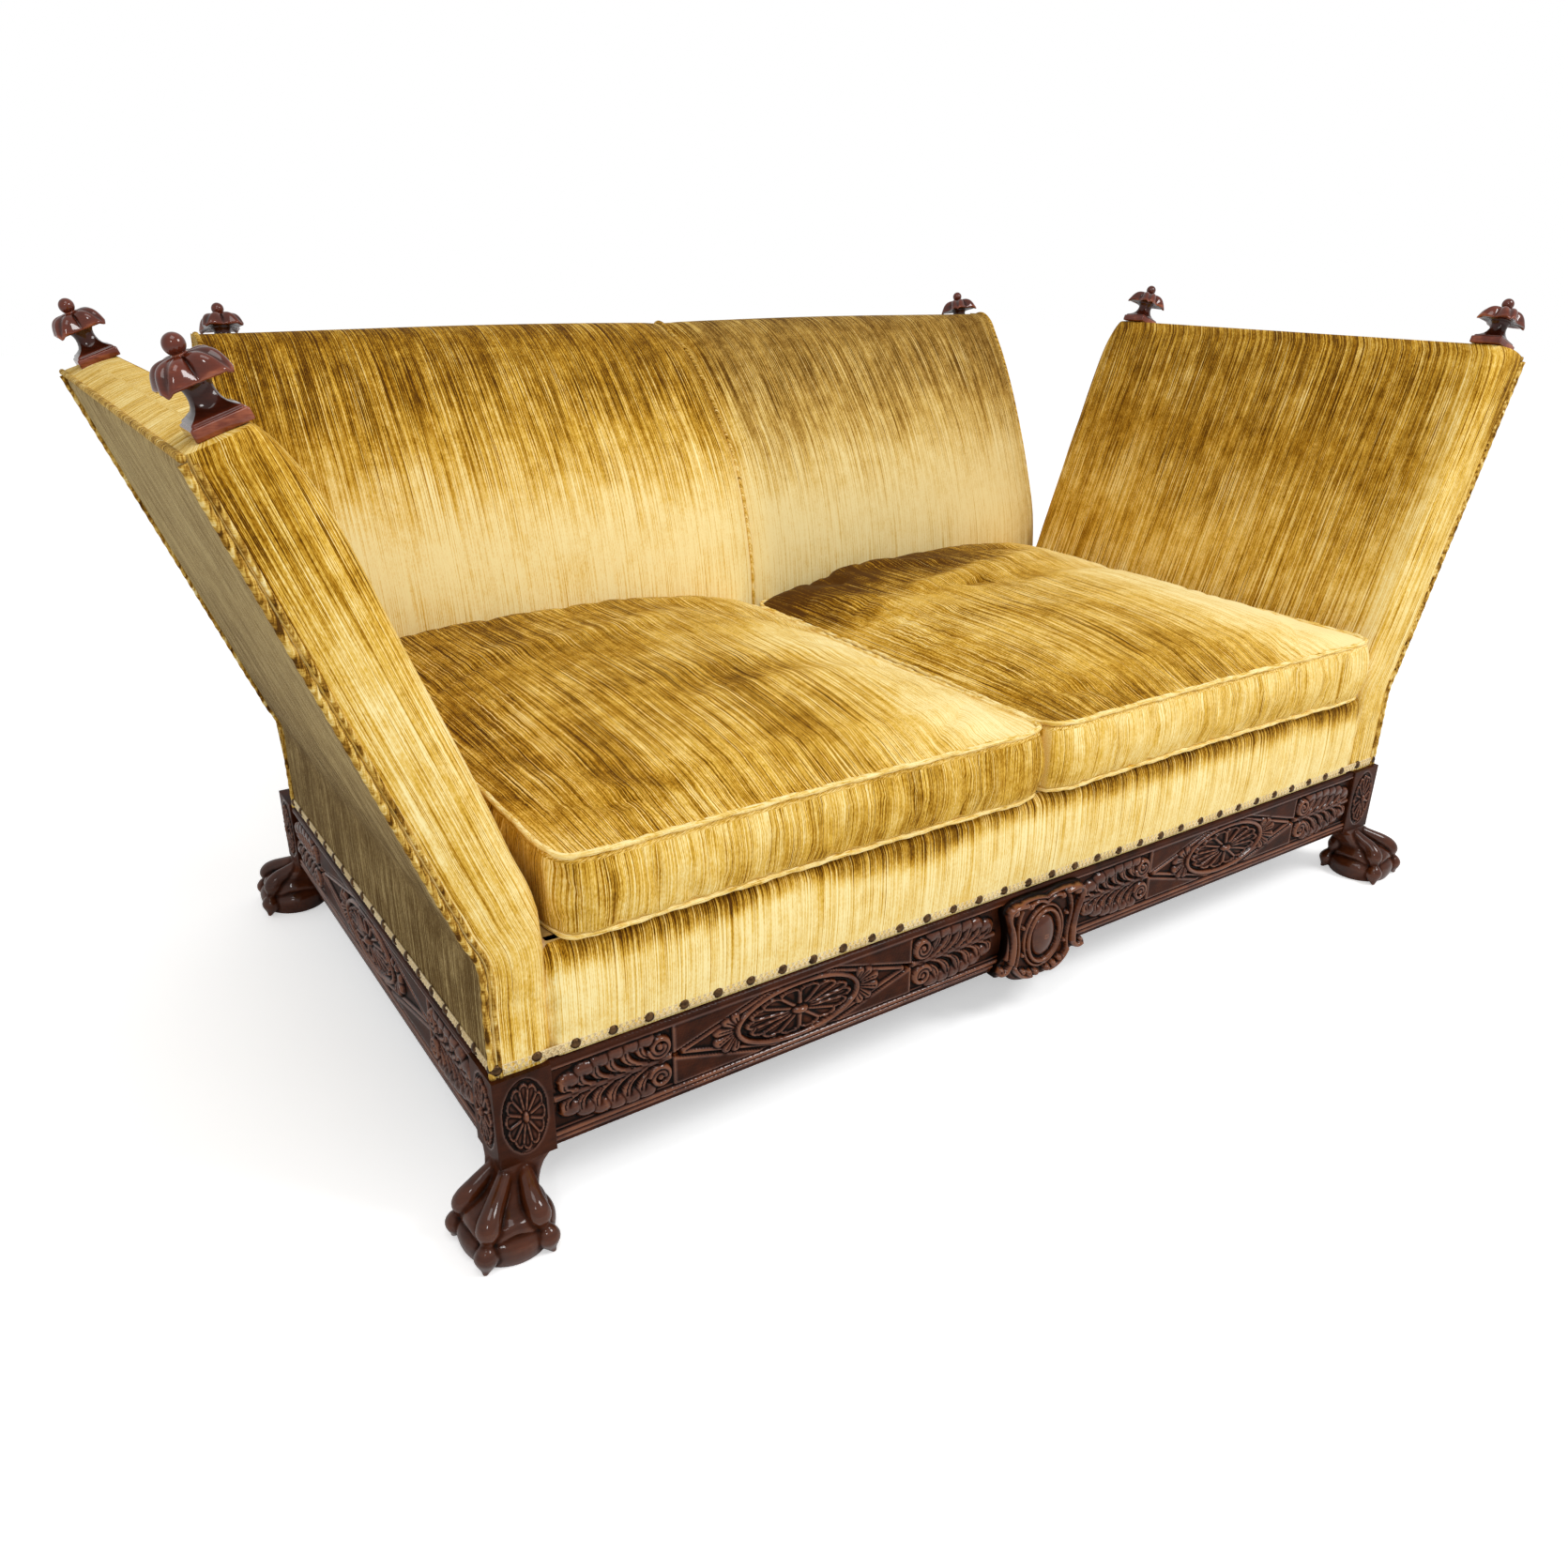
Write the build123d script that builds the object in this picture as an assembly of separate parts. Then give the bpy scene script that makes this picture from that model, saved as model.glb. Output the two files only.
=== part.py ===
from build123d import *
from math import atan2, cos, degrees, hypot, radians, sin
import os

# Carved base: rails between four square leg blocks
base_length = 1760.0
base_depth = 994.0
rail_bottom = 100.0
rail_height = 120.0
rail_thickness = 40.0
rail_setback = 3.0
rail_top_band = 12.0
rail_field_depth = 5.0
rail_field_slope = 3.0
rail_reed_height = 6.5
rail_reed_depth = 3.0
rail_foot_band = 3.0
tenon_length = 24.0
tenon_thickness = 12.0
tenon_shoulder = 18.0
leg_width = 74.0
leg_drop = 4.0
leg_edge = 2.0

# Claw-and-ball feet, which stand outwards from their blocks
foot_reach = 80.0
foot_splay = 30.0
toe_radius = 14.0
ball_radius = 65.0
ball_height = 54.0
sole_radius = 48.0
# Each toe section: share of the reach, of the foot's height and of the toe radius
toe_shares = [
    (0.20, 0.95, 0.74),
    (0.40, 0.82, 0.84),
    (0.60, 0.65, 1.08),
    (0.72, 0.48, 0.80),
    (0.85, 0.29, 1.02),
    (0.95, 0.13, 0.56),
    (1.00, 0.04, 0.22),
]
# Each ankle section: shares of the foot height, the block width and the splay, and its corner share
ankle_shares = [
    (1.00, 0.98, 0.00, 0.04),
    (0.92, 0.80, 0.12, 0.22),
    (0.82, 0.76, 0.36, 0.38),
    (0.66, 0.88, 0.72, 0.46),
    (0.46, 1.20, 1.00, 0.48),
]

# Pendant cartouche in the middle of the front rail
cartouche_width = 176.0
cartouche_height = 162.0
cartouche_drop = 55.0
cartouche_depth = 15.0
cabochon_width = 58.0
cabochon_height = 82.0
cabochon_rise = 12.0
# Dome of the cabochon: shares of its rise and of its size
cabochon_shares = [(0.0, 1.0), (0.55, 0.86), (0.88, 0.58), (1.0, 0.26)]
# Right half of the outline as arcs: ends and the points between, in shares of half the width and the height
cartouche_shares = [
    (0.00, 0.98),
    (0.34, 1.00),
    (0.58, 0.88),
    (0.58, 0.72),
    (0.84, 0.66),
    (1.00, 0.50),
    (0.84, 0.38),
    (0.60, 0.32),
    (0.52, 0.17),
    (0.34, 0.04),
    (0.00, 0.00),
]

# Base stiffening and the cloth beneath
stretcher_width = 40.0
stretcher_depth = 70.0
stretcher_spacing = 600.0
bracket_height = 48.0
bracket_near = 116.0
bracket_far = 152.0
dust_cover_thickness = 3.0

# Sprung seat: frame, webbing, stuffed deck and front border
front_setback = 10.0
side_setback = 7.0
cover_thickness = 12.0
seat_depth = 781.0
seat_frame_height = 80.0
seat_frame_thickness = 30.0
web_width = 50.0
web_thickness = 3.0
web_rows = 6
web_columns = 12
deck_thickness = 66.0
border_edge = 6.0

# Loose seat cushions
cushion_gap = 2.0
cushion_side_gap = 8.0
cushion_rest_gap = 0.4
cushion_overhang = 9.0
cushion_rear_gap = 2.0
cushion_band = 108.0
cushion_crown = 58.0
cushion_pull = 7.0
cushion_rear_pull = 22.0
cushion_rear_flare = 88.0
# Each cushion section: height share of the band, crown share, and inset as a share of the half size
cushion_band_shares = [
    (0.00, 0.00, 0.030),
    (0.06, 0.00, 0.008),
    (0.50, 0.00, 0.000),
    (0.94, 0.00, 0.008),
    (1.00, 0.08, 0.035),
]
cushion_crown_shares = [
    (1.00, 0.62, 0.30),
    (1.00, 0.92, 0.60),
    (1.00, 1.00, 0.86),
]

# Back: a stuffed panel that leans and rolls over at the top
back_half_width = 859.0
back_side_x = 832.0
back_top = 967.0
back_front_gap = 2.0
back_rear_reach = 208.0
back_end_round = 32.0
# Heights of the points of the rolled outline, as shares of the back's height
back_height_shares = [0.0, 0.22, 0.443, 0.545, 0.625, 0.72, 0.797, 0.88, 0.94, 0.985, 1.0, 0.995, 0.97]
# Distances behind the seat line at those heights, as shares of the back's reach
back_middle_shares = [0.0, 0.012, 0.032, 0.072, 0.12, 0.21, 0.327, 0.47, 0.60, 0.76, 0.87, 0.95, 1.0]
back_edge_shares = [0.26, 0.276, 0.322, 0.388, 0.447, 0.527, 0.60, 0.69, 0.77, 0.84, 0.90, 0.96, 1.0]
back_panel_thickness = 5.0
back_frame_depth = 45.0
back_frame_width = 50.0
back_frame_edge = 14.0
back_frame_height = 718.0
back_bottom_rail = 70.0

# Splayed arms, drawn upright about their hinge and then leaned out
arm_lean = 20.0
arm_raised_lean = 6.0
arm_lowered_lean = 60.0
arm_width = 80.0
arm_height = 622.0
arm_bulge = 13.0
arm_rear = 382.0
arm_rear_slope = 4.0
arm_rear_flare = 30.0
hinge_height = 370.0
hinge_round = 34.0
hinge_gap = 0.6
pad_foot = 8.0
arm_foot_rise = 130.0
arm_bulge_middle_share = 0.7
arm_shoulder_drop = 92.0
arm_shoulder_middle = 22.0
arm_top_flat = 66.0
arm_edge_round = 6.0
arm_inner_round = 14.0
arm_panel_thickness = 4.0
arm_frame_depth = 50.0
arm_frame_width = 50.0
arm_top_cover = 16.0
arm_rail_height = 50.0

# Hinge irons and pins
ear_thickness = 8.0
ear_radius = 12.0
ear_stem_width = 22.0
ear_length = 90.0
ear_slot_gap = 1.0
ear_slot_rise = 20.0
ear_spacing = 600.0
pin_radius = 5.0
pin_length = 62.0
pin_gap = 0.05
shoulder_gap = 1.0
trough_wall_slack_degrees = 2.0

# Finials
finial_base = 53.0
finial_base_height = 12.0
finial_step = 4.0
finial_step_height = 3.0
finial_neck = 25.0
finial_cap_width = 75.0
finial_cap_foot = 41.0
finial_cap_top = 65.0
finial_ball_radius = 13.5
finial_height = 90.0
finial_ball_sink = 2.0
finial_peg_radius = 5.0
finial_peg_length = 30.0
finial_offset = 6.0
finial_end_gap = 14.5
finial_back_x = 812.0
finial_back_seat = 33.9
# Cap outline: share of half the cap's width and of the cap's height, with the points between arc ends
finial_cap_shares = [(1.0, 0.0), (0.97, 0.42), (0.72, 0.70), (0.46, 0.88), (0.20, 1.0)]
finial_under_shares = [(1.0, 0.0), (0.72, 0.16), (0.33, 0.20)]

# Gimp braid along the foot of the covers
gimp_height = 14.0
gimp_thickness = 2.0

# Places worked out from the sizes above
half_length = base_length / 2
half_depth = base_depth / 2
rail_top = rail_bottom + rail_height
foot_height = rail_bottom - leg_drop
rail_face_x = half_length - rail_setback
rail_face_y = half_depth - rail_setback
cover_x = half_length - side_setback
cover_y = half_depth - front_setback
hinge_x = cover_x - arm_width / 2
inner_x = cover_x - arm_width
seat_rear = seat_depth - cover_y
frame_front = cover_y - cover_thickness
web_bottom = rail_top + seat_frame_height
deck_bottom = web_bottom + 2 * web_thickness
deck_top = deck_bottom + deck_thickness
back_foot = rail_top
back_front = seat_rear + back_front_gap
back_reach = cover_y - back_front + back_rear_reach
back_lean = degrees(atan2(back_rear_reach, (back_top - back_foot) * back_height_shares[-1]))
arm_half = arm_width / 2
overrun = leg_width

pieces = {}


def slab(low, high):
    size = [b - a for a, b in zip(low, high)]
    middle = [(a + b) / 2 for a, b in zip(low, high)]
    return Pos(*middle) * Box(*size)


def prism_x(sketch, low, high):
    return extrude(Plane((low, 0, 0), x_dir=(0, 1, 0), z_dir=(1, 0, 0)) * sketch, amount=high - low)


def prism_y(sketch, low, high):
    return extrude(Plane((0, high, 0), x_dir=(1, 0, 0), z_dir=(0, -1, 0)) * sketch, amount=high - low)


def polygon(points):
    return make_face(Polyline(*points, close=True).edges())


def arcs_through(points):
    # Each arc runs from one end point through the point between to the next end point
    return [ThreePointArc(*points[i : i + 3]) for i in range(0, len(points) - 2, 2)]


def add_pair(name, right):
    pieces[name + "_right"] = right
    pieces[name + "_left"] = mirror(right, about=Plane.YZ)


# Carved base


def rail_section():
    # Across from the outer face, and up from the floor
    reed_low = rail_bottom + rail_foot_band
    reed_middle = reed_low + rail_reed_height
    reed_top = reed_middle + rail_reed_height
    field_top = rail_top - rail_top_band
    moulding = [
        ThreePointArc(
            (rail_reed_depth, low), (0, low + rail_reed_height / 2), (rail_reed_depth, low + rail_reed_height)
        )
        for low in (reed_low, reed_middle)
    ]
    rest = Polyline(
        (rail_reed_depth, reed_top),
        (rail_field_depth, reed_top + rail_field_slope),
        (rail_field_depth, field_top - rail_field_slope),
        (0, field_top),
        (0, rail_top),
        (rail_thickness, rail_top),
        (rail_thickness, rail_bottom),
        (0, rail_bottom),
        (0, reed_low),
        (rail_reed_depth, reed_low),
    )
    return make_face(moulding + rest.edges())


def tenon_heights():
    return rail_bottom + tenon_shoulder, rail_top - tenon_shoulder


def long_rail():
    reach = half_length - leg_width
    body = prism_x(Pos(-rail_face_y, 0) * rail_section(), -reach, reach)
    low, high = tenon_heights()
    middle = -rail_face_y + rail_thickness / 2
    tenon = slab(
        (-reach - tenon_length, middle - tenon_thickness / 2, low),
        (reach + tenon_length, middle + tenon_thickness / 2, high),
    )
    return body + tenon


def side_rail():
    reach = half_depth - leg_width
    plane = Plane((rail_face_x, -reach, 0), x_dir=(-1, 0, 0), z_dir=(0, 1, 0))
    body = extrude(plane * rail_section(), amount=2 * reach)
    low, high = tenon_heights()
    middle = rail_face_x - rail_thickness / 2
    tenon = slab(
        (middle - tenon_thickness / 2, -reach - tenon_length, low),
        (middle + tenon_thickness / 2, reach + tenon_length, high),
    )
    return body + tenon


def cartouche_outline():
    low = rail_bottom - cartouche_drop
    right = [(x * cartouche_width / 2, low + z * cartouche_height) for x, z in cartouche_shares]
    left = [(-x, z) for x, z in right]
    return make_face(arcs_through(right) + arcs_through(left))


def cartouche():
    field = rail_face_y - rail_field_depth
    plate = prism_y(cartouche_outline(), -field - cartouche_depth, -field)
    middle = rail_bottom - cartouche_drop + cartouche_height / 2
    face = Plane((0, -field - cartouche_depth, middle), x_dir=(1, 0, 0), z_dir=(0, -1, 0))
    rings = [
        face.offset(rise * cabochon_rise) * Ellipse(size * cabochon_width / 2, size * cabochon_height / 2)
        for rise, size in cabochon_shares
    ]
    return plate + loft(rings)


def toe():
    path = [(share[0] * foot_reach, share[1] * foot_height) for share in toe_shares]
    rings = []
    for i, (out, up) in enumerate(path):
        before, after = path[max(i - 1, 0)], path[min(i + 1, len(path) - 1)]
        run = (after[0] - before[0], 0, after[1] - before[1])
        rings.append(Plane((out, 0, up), x_dir=(0, 1, 0), z_dir=run) * Circle(toe_shares[i][2] * toe_radius))
    return loft(rings)


def claw_foot():
    # Front right foot about the middle of its ball; the block above stands nearer the sofa's middle
    rings = []
    for up, wide, splay, corner in ankle_shares:
        width = wide * leg_width
        back = (1 - splay) * foot_splay
        section = RectangleRounded(width, width, corner * width)
        rings.append(Pos(-back, back, up * foot_height) * section)
    ankle = loft(rings)
    side = ThreePointArc((sole_radius, 0), (ball_radius, ball_height / 2), (sole_radius, ball_height))
    top = Polyline((sole_radius, ball_height), (0, ball_height), (0, 0), (sole_radius, 0))
    ball = revolve(Plane.XZ * make_face([side] + top.edges()), Axis.Z)
    toes = [Rot(0, 0, 45 + 90 * k) * toe() for k in range(4)]
    foot = ankle + ball
    for one in toes:
        foot += one
    reach = foot_reach + overrun
    return foot & slab((-reach, -reach, 0), (reach, reach, foot_height))


def leg():
    # Front right leg; the others are mirrored from it
    block = slab(
        (half_length - leg_width, -half_depth, foot_height), (half_length, leg_width - half_depth, rail_top)
    )
    block = chamfer(block.edges().filter_by(Axis.Z), leg_edge)
    out = leg_width / 2 - foot_splay
    foot = Pos(half_length - out, out - half_depth, 0) * claw_foot()
    return block + foot - long_rail() - side_rail()


def build_base():
    front = long_rail()
    pieces["rear_rail"] = mirror(front, about=Plane.XZ)
    pieces["centre_cartouche"] = cartouche()
    pieces["front_rail"] = front - pieces["centre_cartouche"]
    add_pair("side_rail", side_rail())
    front_leg = leg()
    add_pair("front_leg", front_leg)
    add_pair("rear_leg", mirror(front_leg, about=Plane.XZ))


def build_stiffening():
    inner_y = rail_face_y - rail_thickness
    inner_rail_x = rail_face_x - rail_thickness
    x = stretcher_spacing / 2
    add_pair(
        "base_stretcher",
        slab(
            (x - stretcher_width / 2, -inner_y, rail_top - stretcher_depth),
            (x + stretcher_width / 2, inner_y, rail_top),
        ),
    )
    corner = [
        (half_length - rail_setback - rail_thickness, bracket_near - half_depth),
        (half_length - rail_setback - rail_thickness, bracket_far - half_depth),
        (half_length - bracket_far, rail_setback + rail_thickness - half_depth),
        (half_length - bracket_near, rail_setback + rail_thickness - half_depth),
    ]
    bracket = Pos(0, 0, rail_top - stretcher_depth) * extrude(polygon(corner), amount=bracket_height)
    front = [bracket, mirror(bracket, about=Plane.YZ)]
    pieces["corner_brackets"] = Compound(front + [mirror(one, about=Plane.XZ) for one in front])
    low = rail_top - stretcher_depth - dust_cover_thickness
    cloth = slab((-inner_rail_x, -inner_y, low), (inner_rail_x, inner_y, low + dust_cover_thickness))
    for x_side in (-1, 1):
        for y_side in (-1, 1):
            leg_x, leg_y = half_length - leg_width / 2, half_depth - leg_width / 2
            corner_room = Box(leg_width, leg_width, rail_height)
            cloth -= Pos(x_side * leg_x, y_side * leg_y, low) * corner_room
    pieces["dust_cover"] = cloth


# Seat


def build_seat():
    rail_high = rail_top + seat_frame_height
    rear_face = seat_rear
    pieces["seat_frame_front"] = slab(
        (-inner_x, -frame_front, rail_top), (inner_x, seat_frame_thickness - frame_front, rail_high)
    )
    pieces["seat_frame_rear"] = slab(
        (-inner_x, rear_face - seat_frame_thickness, rail_top), (inner_x, rear_face, rail_high)
    )
    add_pair(
        "seat_frame_side",
        slab(
            (inner_x - seat_frame_thickness, seat_frame_thickness - frame_front, rail_top),
            (inner_x, rear_face - seat_frame_thickness, rail_high),
        ),
    )
    pieces["seat_frame_middle"] = slab(
        (-seat_frame_thickness / 2, seat_frame_thickness - frame_front, rail_top),
        (seat_frame_thickness / 2, rear_face - seat_frame_thickness, rail_high),
    )
    depth = rear_face + frame_front
    rows = []
    for k in range(web_rows):
        y = -frame_front + depth * (k + 0.5) / web_rows
        low = (-inner_x, y - web_width / 2, web_bottom)
        rows.append(slab(low, (inner_x, y + web_width / 2, web_bottom + web_thickness)))
    pieces["webbing_rows"] = Compound(rows)
    columns = []
    for k in range(web_columns):
        x = -inner_x + 2 * inner_x * (k + 0.5) / web_columns
        low = (x - web_width / 2, -frame_front, web_bottom + web_thickness)
        columns.append(slab(low, (x + web_width / 2, rear_face, deck_bottom)))
    pieces["webbing_columns"] = Compound(columns)
    pieces["seat_deck"] = slab((-inner_x, -frame_front, deck_bottom), (inner_x, rear_face, deck_top))
    border = slab((-inner_x, -cover_y, rail_top), (inner_x, -frame_front, deck_top))
    front_edge = border.edges().filter_by(Axis.X).sort_by(Axis.Z)[-2:].sort_by(Axis.Y)[0]
    pieces["front_border"] = fillet(front_edge, border_edge)


def cushion():
    # Right cushion: its rear edge runs back to follow the bowed back
    inner, outer = cushion_gap, inner_x - cushion_side_gap
    front, rear = -cover_y - cushion_overhang, seat_rear - cushion_rear_gap
    corners = [(inner, front), (outer, front), (outer, rear + cushion_rear_flare), (inner, rear)]
    rear_side = 2
    middle = ((inner + outer) / 2, (front + rear) / 2)
    low = deck_top + cushion_rest_gap
    rings = []
    for band, crown, inset in cushion_band_shares + cushion_crown_shares:
        z = low + band * cushion_band + crown * cushion_crown
        size = 1 - inset
        ring = [(middle[0] + (x - middle[0]) * size, middle[1] + (y - middle[1]) * size) for x, y in corners]
        sides = []
        for i, (x, y) in enumerate(ring):
            x_next, y_next = ring[(i + 1) % len(ring)]
            run = hypot(x_next - x, y_next - y)
            pull = (cushion_rear_pull if i == rear_side else cushion_pull) * size
            # The side is drawn in between its corners, towards the cushion's middle
            mid = ((x + x_next) / 2 - (y_next - y) / run * pull, (y + y_next) / 2 + (x_next - x) / run * pull)
            sides.append(ThreePointArc((x, y), mid, (x_next, y_next)))
        rings.append(Pos(0, 0, z) * make_face(sides))
    band_rings = rings[: len(cushion_band_shares)]
    crown_rings = rings[len(cushion_band_shares) - 1 :]
    return loft(band_rings) + loft(crown_rings)


# Back


def back_point(forward, up):
    # A point of the leaning panel, measured from its rear foot
    lean = radians(back_lean)
    return cover_y + up * sin(lean) - forward * cos(lean), back_foot + up * cos(lean) + forward * sin(lean)


def back_box(x_low, x_high, forward_low, forward_high, up_low, up_high):
    corners = [(forward_low, up_low), (forward_high, up_low), (forward_high, up_high), (forward_low, up_high)]
    solid = prism_x(polygon([back_point(*corner) for corner in corners]), x_low, x_high)
    reach_x = back_half_width + overrun
    reach_y = half_depth + back_rear_reach + overrun
    return solid & slab((-reach_x, -reach_y, back_foot), (reach_x, reach_y, back_top + finial_height))


def back_section(x):
    height = back_top - back_foot
    bow = min(abs(x) / back_side_x, 1) ** 2
    end = max(abs(x) - back_side_x, 0) / (back_half_width - back_side_x) * back_end_round
    points = []
    for up, middle, edge in zip(back_height_shares, back_middle_shares, back_edge_shares):
        out = middle + (edge - middle) * bow
        points.append((back_front + out * back_reach + end * (1 - out), back_foot + up * height))
    foot = Polyline(points[-1], (cover_y, back_foot), points[0])
    face = make_face(arcs_through(points) + foot.edges())
    return Plane((x, 0, 0), x_dir=(0, 1, 0), z_dir=(1, 0, 0)) * face


def back_finial_place():
    # Seated a set depth below the top of the roll, over the middle of the frame
    forward = back_panel_thickness + back_frame_depth / 2
    lean = radians(back_lean)
    up = (back_top - finial_back_seat - back_foot - forward * sin(lean)) / cos(lean)
    y, z = back_point(forward, up)
    return Pos(finial_back_x, y, z) * Rot(-back_lean, 0, 0)


def build_back():
    half = back_half_width
    side = back_side_x
    full = loft([back_section(x) for x in (-side, -side / 2, 0, side / 2, side)])
    end = loft([back_section(side), back_section(half)], ruled=True)
    full += [end, mirror(end, about=Plane.YZ)]
    edge = half - back_frame_edge
    deep = back_panel_thickness + back_frame_depth
    low = -deep
    pad = full - back_box(-edge, edge, -overrun, deep, low, back_frame_height)
    panel = back_box(-edge, edge, 0, back_panel_thickness, low, back_frame_height)
    pieces["back_outer_panel"] = panel
    inside = (back_panel_thickness, deep)
    rail_foot = back_frame_height - back_frame_width
    top_rail = back_box(-edge, edge, *inside, rail_foot, back_frame_height)
    add_pair("back_post", back_box(edge - back_frame_width, edge, *inside, low, rail_foot))
    post_face = edge - back_frame_width
    pieces["back_bottom_rail"] = back_box(-post_face, post_face, *inside, low, back_bottom_rail)
    half_post = back_frame_width / 2
    pieces["back_middle_post"] = back_box(-half_post, half_post, *inside, back_bottom_rail, rail_foot)
    place = back_finial_place()
    for one in (place * finial_room(), mirror(place * finial_room(), about=Plane.YZ)):
        pad -= one
        top_rail -= one
    pieces["back_top_rail"] = top_rail
    pieces["back_pad"] = pad
    add_pair("back_finial", place * finial())


# Finials


def finial():
    base = Pos(0, 0, finial_base_height / 2) * Box(finial_base, finial_base, finial_base_height)
    width = finial_base - 2 * finial_step
    step_top = finial_base_height + finial_step_height
    base += Pos(0, 0, step_top - finial_step_height / 2) * Box(width, width, finial_step_height)
    cap_height = finial_cap_top - finial_cap_foot
    half = finial_cap_width / 2
    cap = [(x * half, finial_cap_foot + z * cap_height) for x, z in finial_cap_shares]
    under = [(x * half, finial_cap_foot + z * cap_height) for x, z in finial_under_shares]
    waist = ((step_top + under[-1][1]) / 2, finial_neck / 2)
    neck = ThreePointArc((width / 2, step_top), (waist[1], waist[0]), under[-1])
    right = [neck] + arcs_through(under) + arcs_through(cap)
    left = [mirror(one, about=Plane.YZ) for one in right]
    foot = Line((-width / 2, step_top), (width / 2, step_top))
    top = Line(cap[-1], (-cap[-1][0], cap[-1][1]))
    face = make_face(right + left + [foot, top])
    reach = finial_cap_width
    body = prism_y(face, -reach, reach) & prism_x(face, -reach, reach)
    ball = Pos(0, 0, finial_cap_top + finial_ball_radius - finial_ball_sink) * Sphere(finial_ball_radius)
    peg = Pos(0, 0, -finial_peg_length / 2) * Cylinder(finial_peg_radius, finial_peg_length)
    return base + body + ball + peg


def finial_room():
    # What the finial's base and peg take out of the top of a panel
    base = Pos(0, 0, finial_height / 2) * Box(finial_base, finial_base, finial_height)
    return base + Pos(0, 0, -finial_peg_length / 2) * Cylinder(finial_peg_radius, finial_peg_length)


# Arms


def arm_at(across, up):
    return hinge_x + across, hinge_height + up


def arm_box(across_low, across_high, y_low, y_high, up_low, up_high):
    x_low, z_low = arm_at(across_low, up_low)
    x_high, z_high = arm_at(across_high, up_high)
    return slab((x_low, y_low, z_low), (x_high, y_high, z_high))


def arm_plan():
    # Plan of an arm, its rear face running back towards the outside
    inner, outer = hinge_x - arm_half - arm_bulge, hinge_x + arm_half
    rear = [(outer, arm_rear + arm_rear_flare), (hinge_x, arm_rear + arm_rear_slope), (inner, arm_rear)]
    corners = [(inner, -cover_y), (outer, -cover_y)] + rear
    return Pos(0, 0, rail_top) * extrude(polygon(corners), amount=hinge_height + arm_height)


def arm_form():
    inner = -arm_half - arm_bulge
    shoulder = arm_half - arm_top_flat
    flat_top = [
        arm_at(arm_half, pad_foot),
        arm_at(arm_half, arm_height - arm_edge_round),
        arm_at(arm_half - arm_edge_round, arm_height),
        arm_at(shoulder, arm_height),
    ]
    round_over = ThreePointArc(
        arm_at(shoulder, arm_height),
        arm_at((shoulder + inner) / 2, arm_height - arm_shoulder_middle),
        arm_at(inner, arm_height - arm_shoulder_drop),
    )
    face_line = Line(arm_at(inner, arm_height - arm_shoulder_drop), arm_at(inner, arm_foot_rise))
    swell = ThreePointArc(
        arm_at(inner, arm_foot_rise),
        arm_at(-arm_half - arm_bulge * arm_bulge_middle_share, arm_foot_rise / 2),
        arm_at(-arm_half, pad_foot),
    )
    foot = Line(arm_at(-arm_half, pad_foot), arm_at(arm_half, pad_foot))
    outline = make_face(Polyline(*flat_top).edges() + [round_over, face_line, swell, foot])
    solid = prism_y(outline, -cover_y, arm_rear + arm_rear_flare) & arm_plan()
    inner_edges = [
        edge
        for edge in solid.edges()
        if edge.center().X < hinge_x + shoulder
        and (edge.center().Y < pin_gap - cover_y or edge.center().Y > arm_rear - pin_gap)
        and edge.center().Z > hinge_height + pad_foot + pin_gap
    ]
    return fillet(inner_edges, arm_inner_round)


def lean_out(shape):
    return shape.rotate(Axis((hinge_x, 0, hinge_height), (0, 1, 0)), arm_lean)


def arm_finial_places():
    x, z = arm_at(-finial_offset, arm_height)
    inset = finial_end_gap + finial_base / 2
    return {"front": Pos(x, inset - cover_y, z), "rear": Pos(x, arm_rear - inset, z)}


def ear_places():
    return -ear_spacing / 2, ear_spacing / 2


def hinge_cylinder(radius, y_low, y_high):
    return Pos(hinge_x, (y_low + y_high) / 2, hinge_height) * Rot(90, 0, 0) * Cylinder(radius, y_high - y_low)


def arm_bottom_rail():
    y_low, y_high = -frame_front, arm_rear - cover_thickness
    inside = arm_half - arm_panel_thickness
    low_half = arm_box(-hinge_round, hinge_round, y_low, y_high, -hinge_round, 0)
    round_foot = hinge_cylinder(hinge_round, y_low, y_high) & low_half
    rail = round_foot + arm_box(-hinge_round, hinge_round, y_low, y_high, 0, pad_foot)
    rail += arm_box(-hinge_round, inside, y_low, y_high, pad_foot, arm_rail_height)
    slot = ear_thickness / 2 + ear_slot_gap
    for y in ear_places():
        rail -= arm_box(-arm_half, arm_half, y - slot, y + slot, -arm_half, ear_slot_rise)
        rail -= hinge_cylinder(pin_radius, y - pin_length / 2, y + pin_length / 2)
    return rail


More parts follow.
